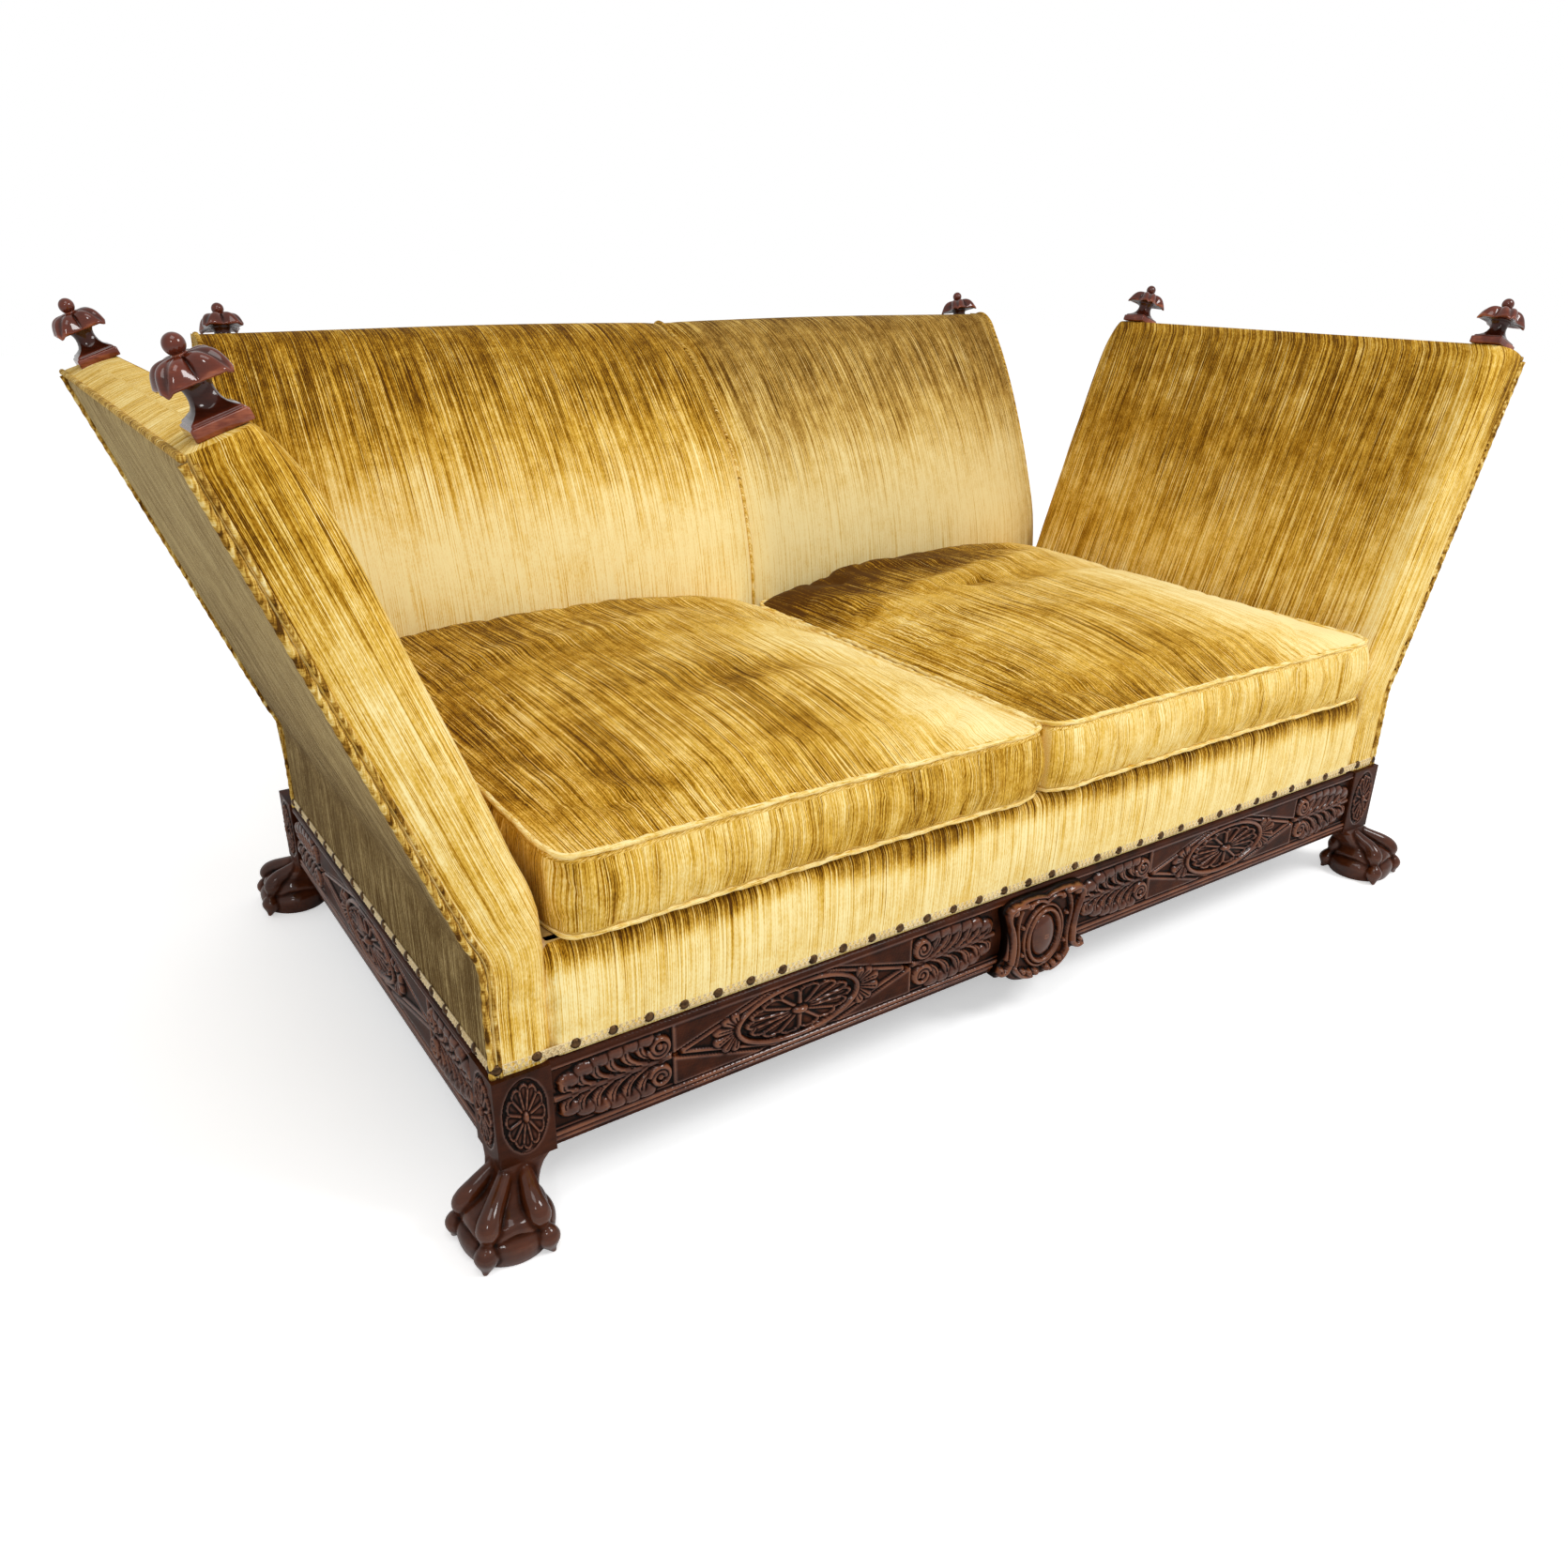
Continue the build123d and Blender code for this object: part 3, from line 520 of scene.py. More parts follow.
def leafHalf(relief, start, end, middle, edge, lobes=5):
    # half of a scrolled leaf: a volute at the start, hooked lobes on to the tip
    run, size = end - start, edge - middle
    wide = abs(size)

    def at(a, b):
        return np.array([start + a * run, middle + b * size])

    for k in range(lobes + 1):
        s = k / lobes
        reach = 0.86 - 0.40 * s ** 3
        tip = (0.30 + 0.64 * s, reach)
        path = bend(at(tip[0] - 0.20 + 0.10 * s, 0.06), at(tip[0] + 0.03, 0.12 + 0.2 * (1 - s)), at(*tip), 12)
        hook = bend(at(*tip), at(tip[0] - 0.02, reach + 0.10), at(tip[0] - 0.07, reach + 0.04), 5)
        path = np.vstack([path, hook[1:]])
        grow = np.linspace(0.40, 1.0, len(path))
        relief.raised(path, wide * 0.275 * grow, 0.0028 + 0.0062 * grow, 0.6)
        shift = np.array([0.050 * run, 0.02 * size])
        relief.cut(path[:-4] + shift, wide * 0.045, 0.0045)
        relief.cut(path[3:-5], wide * 0.030, 0.0022)
    centre = at(0.13, 0.54)
    turn = np.linspace(0, 1, 40)
    radius = wide * (0.37 - 0.20 * turn)
    spin = (-0.9 + 2.9 * turn) * np.pi * np.sign(run)
    spiral = np.stack([centre[0] - np.sign(run) * radius * np.cos(spin * np.sign(run)),
                       centre[1] + np.sign(size) * radius * np.sin(spin * np.sign(run))], 1)
    relief.raised(spiral, wide * 0.105, 0.0088)
    relief.knob(*centre, wide * 0.15, wide * 0.15, 0.0095)
    relief.raised(np.array([at(0.0, 0.03), at(1.02, 0.03)]), 0.0030, 0.0050)


def fan(relief, u, v, way, reach, spread, flutes=7):
    # small fluted shell opening towards the corner of the lozenge
    for k in range(flutes):
        s = 2 * k / (flutes - 1) - 1
        angle = s * spread
        far = reach * (1 - 0.35 * abs(s) ** 1.3)
        tip = np.array([u + way * far * math.cos(angle), v + far * math.sin(angle)])
        root = np.array([u + way * 0.006 * math.cos(angle), v + 0.006 * math.sin(angle)])
        relief.raised(np.linspace(root, tip, 6), np.linspace(0.0026, 0.0084, 6), np.linspace(0.002, 0.0074, 6), 0.6)
        relief.cut(np.linspace(root, tip, 6)[1:], 0.0012, 0.0030)


def lozenge(relief, left, right, low, high, reachIn):
    middle = 0.5 * (low + high)
    centre = 0.5 * (left + right)
    half = 0.5 * (right - left)
    flat = np.abs(relief.across - centre)
    slope = (high - low) / 2 / reachIn
    line = (half - flat) * slope  # height of the frame line over the middle
    outside = (np.abs(relief.up - middle) > line) & (flat < half)
    relief.rise[outside] = np.maximum(relief.rise[outside], 0.0042)
    for side in (-1, 1):
        corner = np.array([centre + side * half, middle])
        for way in (-1, 1):
            far = np.array([centre + side * (half - reachIn), middle + way * (high - low) / 2])
            relief.cut(np.array([corner, far]), 0.0040, 0.0075)
            inner = (far - corner) / np.linalg.norm(far - corner)
            shift = np.array([-side * 0.011, 0.0]) + inner * 0.004
            relief.raised(np.array([corner + shift, far + shift]), 0.0030, 0.0040)


railLook = {
    "bottom": 0.100,
    "top": 0.220,
    "field": (0.1185, 0.2085),  # carved height
    "face": 0.494,
    "sideFace": 0.877,
    "back": 0.026,  # how far a rail goes behind its face
    "sunk": 0.005,
    "reeds": (0.1065, 0.1130),
    "reedHalf": 0.0032,
    "frontBreaks": (0.800, 0.640, 0.252, 0.095),  # outer leaf, lozenge, inner leaf, cartouche
    "sideBreaks": (0.418, 0.262),
}


def railRise(across, up, parts):
    low, high = railLook["field"]
    relief = Relief(across, up)
    middle = 0.5 * (low + high)
    margin = 0.0035
    for part in parts:
        kind, a, b = part[:3]
        if kind == "leaf":
            leafHalf(relief, a, b, middle, high - margin)
            leafHalf(relief, a, b, middle, low + margin)
        elif kind == "lozenge":
            lozenge(relief, a, b, low, high, part[3])
            centre, wide, tall = 0.5 * (a + b), part[4], 0.5 * (high - low) - 0.002
            around = np.hypot((across - centre) / (wide + 0.004), (up - middle) / (tall + 0.003)) < 1
            for side in (-1, 1):
                fan(relief, centre + side * (wide - 0.006), middle, side, 0.038, 1.15, 6)
            relief.rise[around] = 0
            relief.ring(centre, middle, wide, tall - 0.002, 0.0042, 0.0070)
            rosette(relief, centre, middle, wide - 0.0065, tall - 0.0075, part[5], 0.0085)
    inside = step(up, low, low + 0.002) * (1 - step(up, high - 0.002, high))
    rise = relief.rise * inside - railLook["sunk"] * inside
    half = railLook["reedHalf"]
    away = [np.abs(up - reed) for reed in railLook["reeds"]]
    for gap in away:
        rounded = -half + 0.0042 * np.sqrt(np.clip(1 - (gap / half) ** 2, 0, 1))
        rise = np.maximum(rise, np.where(gap < half, rounded, -1))
    foot = (up > railLook["bottom"] + 0.003) & (up < low) & (rise > -0.0045) & (rise <= 0)
    rise = np.where(foot & (np.minimum(*away) > 0.0030), -half, rise)
    rise += 0.0008 * np.exp(-((up - 0.2110) / 0.0015) ** 2)
    return rise


def railMesh(span, parts, place, gapStep):
    # place(across, up, rise) gives the points
    back = railLook["back"]
    across = np.arange(-span, span + gapStep / 2, gapStep)
    up = np.arange(railLook["bottom"], railLook["top"] + 0.0001, 0.0014)
    u, v = np.meshgrid(across, up, indexing="ij")
    rise = railRise(u.ravel(), v.ravel(), parts).reshape(u.shape)
    rough = 0.0002 * np.sin(u * 900 + v * 700) * np.sin(v * 1300 - u * 210)
    front = place(u, v, rise + rough)
    first = place(u[:, :1], v[:, :1], np.full((len(across), 1), -back))
    last = place(u[:, -1:], v[:, -1:], np.full((len(across), 1), -back))
    verts = np.concatenate([first, front, last], 1)
    columns = verts.shape[1]
    layer = np.concatenate([np.zeros((len(across), 1)), reliefTone(rise), np.zeros((len(across), 1))], 1)
    faces = gridFaces(len(across), columns, False, True)
    return verts.reshape(-1, 3), faces, layer.ravel()


def reliefTone(rise):
    # 0 deep in the carving, 1 on proud edges: height and how far a point stands over its neighbours; it sets painted
    #                                          shade in the carving and painted highlight on the edges, and the gloss
    wide = rise.copy()
    for _ in range(3):
        for axis in (0, 1):
            wide = (np.roll(wide, 1, axis) + wide + np.roll(wide, -1, axis)) / 3
    edge = (rise - wide) * 620
    return np.clip(0.42 + rise * 26 + edge, 0, 1)


def endPlace(sign):
    return lambda u, v, rise: np.stack([-sign * u, sign * (railLook["face"] + rise), v], -1)


def sidePlace(sign):
    return lambda u, v, rise: np.stack([sign * (railLook["sideFace"] + rise), u, v], -1)


outer, lozOut, lozIn, inner = railLook["frontBreaks"]
frontParts = []
for side in (-1, 1):
    frontParts.append(("leaf", side * lozOut, side * outer))
    frontParts.append(("leaf", side * lozIn, side * inner))
    ends = sorted((side * lozOut, side * lozIn))
    frontParts.append(("lozenge", ends[0], ends[1], 0.150, 0.098, 14))
leafEnd, lozEnd = railLook["sideBreaks"]
sideParts = [("leaf", s * lozEnd, s * leafEnd) for s in (-1, 1)]
sideParts.append(("lozenge", -lozEnd, lozEnd, 0.200, 0.112, 16))
# name, node, half length, carving, place, spacing of the points, axis and way the face looks, share of the polish
for name, node, span, parts, place, gap, axis, way, polish in (
    ("carvedFrontRail", "front_rail", 0.8075, frontParts, endPlace(-1), 0.0016, 1, -1, 1.0),
    ("carvedSideRailLeft", "side_rail_left", 0.4245, sideParts, sidePlace(-1), 0.0019, 0, -1, 1.0),
    ("carvedSideRailRight", "side_rail_right", 0.4245, sideParts, sidePlace(1), 0.0019, 0, 1, 1.0),
    ("rearRail", "rear_rail", 0.8075, [], endPlace(1), 0.02, 1, 1, 0.8),
):
    verts, faces, tone = railMesh(span, parts, place, gap)
    a, b, c = verts[faces[5][:3]]
    if way * np.cross(b - a, c - b)[axis] < 0:
        faces = flipped(faces)
    makeMesh(name, verts, faces, carvedWood, stands=(node,), layers={"relief": tone * polish})
print("rails carved")

# cartouche
cartoucheLook = {
    "face": 0.503,  # how far its flat stands from the middle of the base
    "back": 0.486,
    # right half of the outline, in millimetres across and up
    "outline": [(0, 215), (30, 217), (60, 216), (76, 212), (85, 203), (82, 190), (75, 170), (72, 150), (74, 130),
                (80, 116), (90, 109), (96, 99), (92, 90), (83, 88), (75, 93), (67, 88), (60, 78), (48, 71), (30, 66),
                (14, 64), (0, 66)],
    "cabochon": (0.140, 0.024, 0.036, 0.0120),  # height of its middle, half width, half height, rise
    "ringGaps": ((0.0085, 0.0038, 0.0090), (0.0165, 0.0028, 0.0062)),
    # left out to right: path across and up in millimetres, width, height
    "scrolls": [
        (((44, 205), (86, 214), (76, 184)), 0.0056, 0.0118), (((76, 184), (58, 150), (66, 112)), 0.0056, 0.0118),
        (((66, 112), (74, 92), (88, 99)), 0.0048, 0.0105), (((84, 186), (66, 150), (75, 120)), 0.0026, 0.0075),
        (((50, 196), (60, 178), (54, 150)), 0.0026, 0.0080), (((54, 150), (48, 120), (56, 98)), 0.0026, 0.0080),
        (((56, 98), (44, 76), (20, 74)), 0.0042, 0.0100), (((0, 198), (20, 212), (36, 198)), 0.0036, 0.0090),
        (((0, 206), (26, 216), (60, 209)), 0.0026, 0.0075), (((88, 99), (94, 108), (84, 106)), 0.0036, 0.0095),
    ],
    # across, up and size in millimetres, height
    "beads": [(66, 200, 8, 0.0120), (84, 99, 6, 0.0110), (44, 118, 4, 0.0100), (46, 166, 4, 0.0090),
              (64, 122, 4, 0.009), (12, 79, 7, 0.0125), (26, 81, 7, 0.0120), (39, 87, 6, 0.0110),
              (34, 200, 6, 0.0105)],
}


def cartoucheMesh():
    look = cartoucheLook
    right = np.array(look["outline"]) / 1000
    edge = np.concatenate([right, right[-2:0:-1] * [-1, 1]])
    low, high = right[:, 1].min(), right[:, 1].max()
    middle = np.array([0, 0.5 * (low + high)])
    # even points along the outline
    count = 300
    closed = np.vstack([edge, edge[:1]])
    along = lengths(closed)
    at = np.linspace(0, along[-1], count, endpoint=False)
    ring = np.stack([np.interp(at, along, closed[:, i]) for i in (0, 1)], 1)
    for _ in range(3):
        ring = (np.roll(ring, 1, 0) + 2 * ring + np.roll(ring, -1, 0)) / 4
    shares = np.concatenate([np.linspace(0.02, 0.93, 64), 1 - 0.07 * (1 - np.linspace(0.1, 1, 8)) ** 1.5])
    points = middle + (ring - middle)[None] * shares[:, None, None]
    u, v = points[..., 0], points[..., 1]
    relief = Relief(u.ravel(), v.ravel())
    cz, wide, tall, rise = look["cabochon"]
    relief.knob(0, cz, wide, tall, rise)
    for gap, thick, high in look["ringGaps"]:
        relief.ring(0, cz, wide + gap, tall + gap, thick, high)
    for side in (-1, 1):
        for path, thick, high in look["scrolls"]:
            relief.raised(bend(*(np.array(path) / 1000 * [side, 1])), thick, high)
        for x, z, size, high in look["beads"]:
            relief.knob(side * x / 1000, z / 1000, size / 1000, size / 1000, high)
    rise = relief.rise.reshape(u.shape)
    fall = np.clip((1 - shares) / 0.07, 0, 1) ** 0.5
    rise = rise * fall[:, None] - (1 - fall)[:, None] * 0.004
    y = -(look["face"] + rise)
    front = np.stack([u, y, v], -1)
    sideRing = np.stack([ring[:, 0], np.full(count, -look["back"]), ring[:, 1]], -1)[None]
    grid = np.concatenate([front, sideRing], 0)
    rows = grid.shape[0]
    faces = gridFaces(rows, count, False, True)
    verts = np.vstack([grid.reshape(-1, 3), [[middle[0], y[0].mean(), middle[1]]]])
    faces += [[(i + 1) % count, i, rows * count] for i in range(count)]
    faces.append([(rows - 1) * count + i for i in range(count)][::-1])
    tone = np.concatenate([reliefTone(rise).ravel(), np.zeros(count), [0.6]])
    return verts, faces, tone


verts, faces, tone = cartoucheMesh()
makeMesh("carvedCartouche", verts, faces, carvedWood, stands=("centre_cartouche",), layers={"relief": tone})
print("cartouche carved")


# legs
legLook = {
    "centre": (0.843, 0.460),
    "footShift": (0.037, 0.040),  # how far the ball stands outside the middle of its block
    "toeTurns": (0, 78, 180, -78),
    # each toe from the ankle down: out, up, thickness, share of the shift
    "toe": ((0.012, 0.090, 0.0070, 0.36), (0.021, 0.082, 0.0095, 0.50), (0.030, 0.074, 0.0112, 0.68),
            (0.0385, 0.066, 0.0128, 0.87), (0.0455, 0.0575, 0.0144, 0.97), (0.0498, 0.049, 0.0146, 1.0),
            (0.0522, 0.0410, 0.0106, 1.0), (0.0545, 0.0350, 0.0084, 1.0), (0.0572, 0.0290, 0.0124, 1.0),
            (0.0592, 0.0220, 0.0150, 1.0), (0.0610, 0.0142, 0.0128, 1.0), (0.0640, 0.0060, 0.0062, 1.0),
            (0.0675, 0.0008, 0.0022, 1.0)),
    # each ring of the ankle from the block down: height, half width, corner, share of the shift, arch between toes
    "ankle": (
        (0.112, 0.0355, 0.004, 0.00, 0), (0.099, 0.0353, 0.005, 0.01, 0), (0.093, 0.0325, 0.008, 0.12, 0),
        (0.086, 0.0298, 0.010, 0.24, 0), (0.078, 0.0290, 0.013, 0.36, 0), (0.070, 0.0304, 0.018, 0.54, 0),
        (0.062, 0.0350, 0.027, 0.76, 0.001), (0.054, 0.0418, 0.038, 0.93, 0.004), (0.047, 0.0478, 0.046, 1.0, 0.007),
        (0.041, 0.0514, 0.051, 1.0, 0.009), (0.035, 0.0536, 0.053, 1.0, 0.010), (0.030, 0.0515, 0.051, 1.0, 0.010),
    ),
    "around": 72,
    "block": 0.074,
    "low": 0.096,
    "top": 0.220,
    "ballWide": 0.0592,
    "ballMiddle": 0.023,
    "ballTall": 0.026,
    "voxel": 0.0017,
}


def ellipsoid(centre, radii, rows=20, columns=32):
    lift = np.linspace(-np.pi / 2, np.pi / 2, rows)
    turn = np.linspace(0, 2 * np.pi, columns, endpoint=False)
    ring = np.stack([np.outer(np.cos(lift), np.cos(turn)), np.outer(np.cos(lift), np.sin(turn)),
                     np.outer(np.sin(lift), np.ones(columns))], -1) * radii + centre
    faces = gridFaces(rows, columns, False, True)
    return ring.reshape(-1, 3), faces


def clawForm():
    # foot for the corner where both x and y are outward; block centre is the origin
    look = legLook
    foot = np.array([*look["footShift"], 0.0])
    toeTurns = [math.radians(45 + turn) for turn in look["toeTurns"]]
    verts, faces = ellipsoid((0, 0, 0), (look["ballWide"], look["ballWide"], look["ballTall"]), 28, 48)
    verts[:, 2] *= np.where(verts[:, 2] < 0, 1.9, 1.0)  # fuller below, where it meets the floor
    parts = [(verts + foot + [0, 0, look["ballMiddle"]], faces)]
    rings = []
    count = look["around"]
    turn = np.linspace(0, 2 * np.pi, count, endpoint=False)
    c, s = np.cos(turn), np.sin(turn)
    away = np.min([np.abs(np.mod(turn - t + np.pi, 2 * np.pi) - np.pi) for t in toeTurns], 0)
    between = np.sin(np.clip(away / 0.72, 0, 1) * np.pi / 2) ** 2
    for z, half, corner, splay, arch in look["ankle"]:
        core = half - corner
        squeeze = 1 - 0.06 * arch / 0.010 * between  # drawn in between the toes
        x = np.sign(c) * np.minimum(np.abs(c) * 10, 1) * core + corner * c * squeeze
        y = np.sign(s) * np.minimum(np.abs(s) * 10, 1) * core + corner * s * squeeze
        rings.append(np.stack([x + foot[0] * splay, y + foot[1] * splay, z + arch * between], -1))
    grid = np.array(rings[::-1])
    faces = gridFaces(len(rings), count, False, True)
    faces.append(list(range(count))[::-1])
    faces.append([(len(rings) - 1) * count + i for i in range(count)])
    parts.append((grid.reshape(-1, 3), faces))
    marks = look["toe"]
    keys = np.arange(len(marks))
    at = np.linspace(0, len(marks) - 1, 56)
    out, up, thick, splay = (through(keys, [mark[i] for mark in marks], at) for i in range(4))
    for t in toeTurns:
        way = np.array([math.cos(t), math.sin(t), 0])
        path = foot * np.clip(splay, 0, 1)[:, None] + way * out[:, None] + [0, 0, 1] * up[:, None]
        parts.append(tube(path, thick, 20))
    return joined(parts)


def remeshed(verts, faces, size, smooth=2):
    obj = newObject("form", verts, faces)
    mod = obj.modifiers.new("whole", "REMESH")
    mod.mode = "VOXEL"
    mod.voxel_size = size
    soft = obj.modifiers.new("soft", "SMOOTH")
    soft.factor, soft.iterations = 0.5, smooth
    return evaluated(obj)


def curveTone(verts, faces, gain):
    # lighter where the surface stands proud of its surroundings, darker in its hollows: painted highlight and painted
    # shade, also used for the gloss
    quads = np.array([face if len(face) == 4 else face + [face[-1]] for face in faces if len(face) < 5])
    edges = np.vstack([quads[:, [0, 1]], quads[:, [1, 2]], quads[:, [2, 3]], quads[:, [3, 0]]])
    edges = edges[edges[:, 0] != edges[:, 1]]
    count = np.bincount(edges.ravel(), minlength=len(verts))[:, None] + 1e-9

    def spread(values):
        total = np.zeros_like(values)
        np.add.at(total, edges[:, 0], values[edges[:, 1]])
        np.add.at(total, edges[:, 1], values[edges[:, 0]])
        return total / count

    wide = verts
    for _ in range(4):
        wide = spread(wide)
    normal = np.zeros_like(verts)
    face = np.cross(verts[quads[:, 1]] - verts[quads[:, 0]], verts[quads[:, 2]] - verts[quads[:, 0]])
    for i in range(4):
        np.add.at(normal, quads[:, i], face)
    normal /= np.linalg.norm(normal, axis=1)[:, None] + 1e-12
    out = ((verts - wide) * normal).sum(1)
    for _ in range(2):
        out = spread(out[:, None])[:, 0]
    return np.clip(0.42 + out * gain, 0.05, 1)


clawVerts, clawFaces = remeshed(*clawForm(), legLook["voxel"])
clawVerts[:, 2] = np.maximum(clawVerts[:, 2], 0.0)
clawTone = np.clip(curveTone(clawVerts, clawFaces, 640) + 0.08, 0, 1)
print("claw form:", len(clawVerts))


def blockFace(carved):
    # one side of the block, local: across, up from the block's bottom, rise
    half, tall = legLook["block"] / 2, legLook["top"] - legLook["low"]
    gap = 0.0012 if carved else 0.012
    across = np.linspace(-half, half, int(2 * half / gap) + 1)
    up = np.linspace(0, tall, int(tall / gap) + 1)
    u, v = np.meshgrid(across, up, indexing="ij")
    relief = Relief(u.ravel(), v.ravel())
    if carved:
        rosette(relief, 0, tall * 0.52, 0.0265, 0.0500, 12, 0.0058)
    rise = relief.rise.reshape(u.shape)
    sunk = (np.hypot(u / 0.0285, (v - tall * 0.52) / 0.0530) < 1) * -0.0016 if carved else 0
    rise = np.maximum(rise + sunk, rise * 0.6 + sunk)
    trim = np.maximum(np.abs(u) - (half - 0.0012), 0)
    return u, v, rise - trim, reliefTone(rise)


def legMesh(signX, signY):
    verts = clawVerts.copy()
    tones = [clawTone]
    parts = [(verts, clawFaces)]
    half = legLook["block"] / 2
    # the two outer sides are carved; each side looks along (c, s)
    for carved, c, s in ((True, 1, 0), (True, 0, 1), (False, -1, 0), (False, 0, -1)):
        u, v, rise, tone = blockFace(carved)
        out = half + rise
        points = np.stack([out * c - u * s, out * s + u * c, v + legLook["low"]], -1)
        parts.append((points.reshape(-1, 3), gridFaces(*u.shape)))
        tones.append(tone.ravel())
    for z, flip in ((legLook["top"], False), (legLook["low"], True)):
        cap = np.array([(-half, -half, z), (half, -half, z), (half, half, z), (-half, half, z)])
        parts.append((cap, [[3, 2, 1, 0] if flip else [0, 1, 2, 3]]))
        tones.append(np.full(4, 0.4))
    verts, faces = joined(parts)
    verts = verts * [signX, signY, 1]
    if signX * signY < 0:
        faces = flipped(faces)
    verts[:, 0] += signX * legLook["centre"][0]
    verts[:, 1] += signY * legLook["centre"][1]
    return verts, faces, np.concatenate(tones)


for endName, signY in (("front", -1), ("rear", 1)):
    for sideName, signX in sides:
        verts, faces, tone = legMesh(signX, signY)
        makeMesh("clawLeg" + endName.title() + sideName.title(), verts, faces, carvedWood,
                 stands=(endName + "_leg_" + sideName,), layers={"relief": tone})
print("legs made")


# finials
finialLook = {
    "base": 0.0265,  # half width of the square foot
    "capCorner": 0.0405,
    "capFlat": 0.0278,
    "ball": 0.0098,
    "ballMiddle": 0.0735,
    "solidBall": (0.0765, 0.0135),  # height and radius of the ball on the solid
    "tilt": math.radians(16.02),  # lean of the back finials
    "around": 128,
    # each ring of the foot and stem: share of the base, roundness, height
    "stem": (
        (0.2, 0, -0.0005), (0.98, 0, -0.0005), (1.0, 0, 0.0008), (1.0, 0, 0.0092), (0.985, 0.01, 0.0104),
        (0.94, 0.02, 0.0112), (0.90, 0.03, 0.0116), (0.90, 0.03, 0.0130), (0.86, 0.04, 0.0142), (0.80, 0.08, 0.0150),
        (0.72, 0.14, 0.0165), (0.60, 0.30, 0.0195), (0.52, 0.50, 0.0235), (0.475, 0.70, 0.0285),
        (0.47, 0.85, 0.0330), (0.50, 0.95, 0.0370), (0.56, 1, 0.0400), (0.62, 1, 0.0425), (0.60, 1, 0.0445),
    ),
}


def finialForm():
    look = finialLook
    count = look["around"]
    turn = np.linspace(0, 2 * np.pi, count, endpoint=False)
    c, s = np.cos(turn), np.sin(turn)
    square = 1 / np.maximum(np.abs(c), np.abs(s))

    def ringAt(half, roundness, z):
        radius = half * (square * (1 - roundness) + roundness)
        return np.stack([radius * c, radius * s, np.full(count, z)], -1)

    foot = [ringAt(look["base"] * share, roundness, z) for share, roundness, z in look["stem"]]
    reach = look["capFlat"] + (look["capCorner"] - look["capFlat"]) * np.abs(np.sin(2 * turn)) ** 2.2
    lobe = np.abs(np.sin(4 * turn)) ** 0.55  # two petals on each side
    corner = np.exp(-((np.mod(turn, np.pi / 2) - np.pi / 4) / 0.075) ** 2)
    cap = []
    for share in (0.45, 0.72, 0.90):  # under the cap, out to its rim
        rim = 0.0420 - 0.0035 * corner
        radius = 0.0160 + (reach - 0.0160) * share
        cap.append(np.stack([radius * c, radius * s, 0.0455 + (rim - 0.0455) * share ** 2], -1))
    for share in np.linspace(1.0, 0.06, 26):
        dome = 1 - share ** 2.5
        bulge = 0.0072 * lobe * np.sin(np.pi * np.clip(share, 0, 1) ** 1.3) * (1 - corner)
        rib = 0.0022 * corner * np.sin(np.pi * np.clip(share * 0.96, 0, 1)) ** 0.5
        crease = -0.0016 * (1 - lobe) * (1 - corner) * np.sin(np.pi * share)
        radius = reach * share + bulge * 0.8 + rib * 0.5
        low = 0.0432 - 0.0042 * corner + 0.0012 * lobe
        z = low + (0.0640 - low) * dome + (bulge * 0.5 + rib + crease)
        cap.append(np.stack([radius * c, radius * s, z], -1))
    grid = np.array(foot + cap)
    verts = grid.reshape(-1, 3)
    faces = gridFaces(len(grid), count, False, True)
    faces.append(list(range(count))[::-1])
    faces.append([(len(grid) - 1) * count + i for i in range(count)])
    neck = ellipsoid((0, 0, 0.0640), (0.0080, 0.0080, 0.0035), 8, 32)
    ball = ellipsoid((0, 0, look["ballMiddle"]), (look["ball"],) * 3, 24, 40)
    return joined([(verts, faces), neck, ball])


finialVerts, finialFaces = finialForm()
finialTone = np.clip(0.30 + 0.55 * curveTone(finialVerts, finialFaces, 700), 0, 1)

armLook = {
    "lean": math.radians(20),
    "hinge": (0.833, 0.370),
    "front": -0.487,
    "rearIn": 0.382,
    "rearOut": 0.412,
    "outside": 0.040,
    "top": 0.622,
    "innerKeys": (0.000, 0.008, 0.035, 0.065, 0.100, 0.130, 0.250, 0.400, 0.530, 0.560, 0.590, 0.606, 0.616, 0.622),
    "inner": (-0.040, -0.040, -0.0445, -0.0485, -0.0515, -0.053, -0.0545, -0.0545, -0.053, -0.0500, -0.0425, -0.0365,
              -0.031, -0.026),
    "overRail": (0.0055, 0.050, 0.032),  # rise, height and spread of the bulge over the foot rail
    "crown": (0.600, 0.0195, 0.0035),  # where the top starts to round, over what height, by how much
    "swell": 0.0035,
    "frontSwell": (0.0015, 0.0040),  # below and above the bend
    "welt": 0.0042,
    "flange": 0.0026,
    "topWelt": 0.0040,
    "bandLow": 0.220,
    "bend": (-0.060, 0.115),  # below and above the hinge, where the cover curves over
}


def armLeanAt(up):
    return armLook["lean"] * float(step(up, *armLook["bend"]))


def overRail(up):
    # the cover bulges where it passes over the foot rail
    rise, middle, spread = armLook["overRail"]
    return rise * np.exp(-((up - middle) / spread) ** 2)


def armPlace(across, y, up, sign, lean=None):
    lean = armLook["lean"] if lean is None else lean
    x = armLook["hinge"][0] + across * np.cos(lean) + up * np.sin(lean)
    z = armLook["hinge"][1] - across * np.sin(lean) + up * np.cos(lean)
    return np.stack([sign * x, y + 0 * x, z], -1)


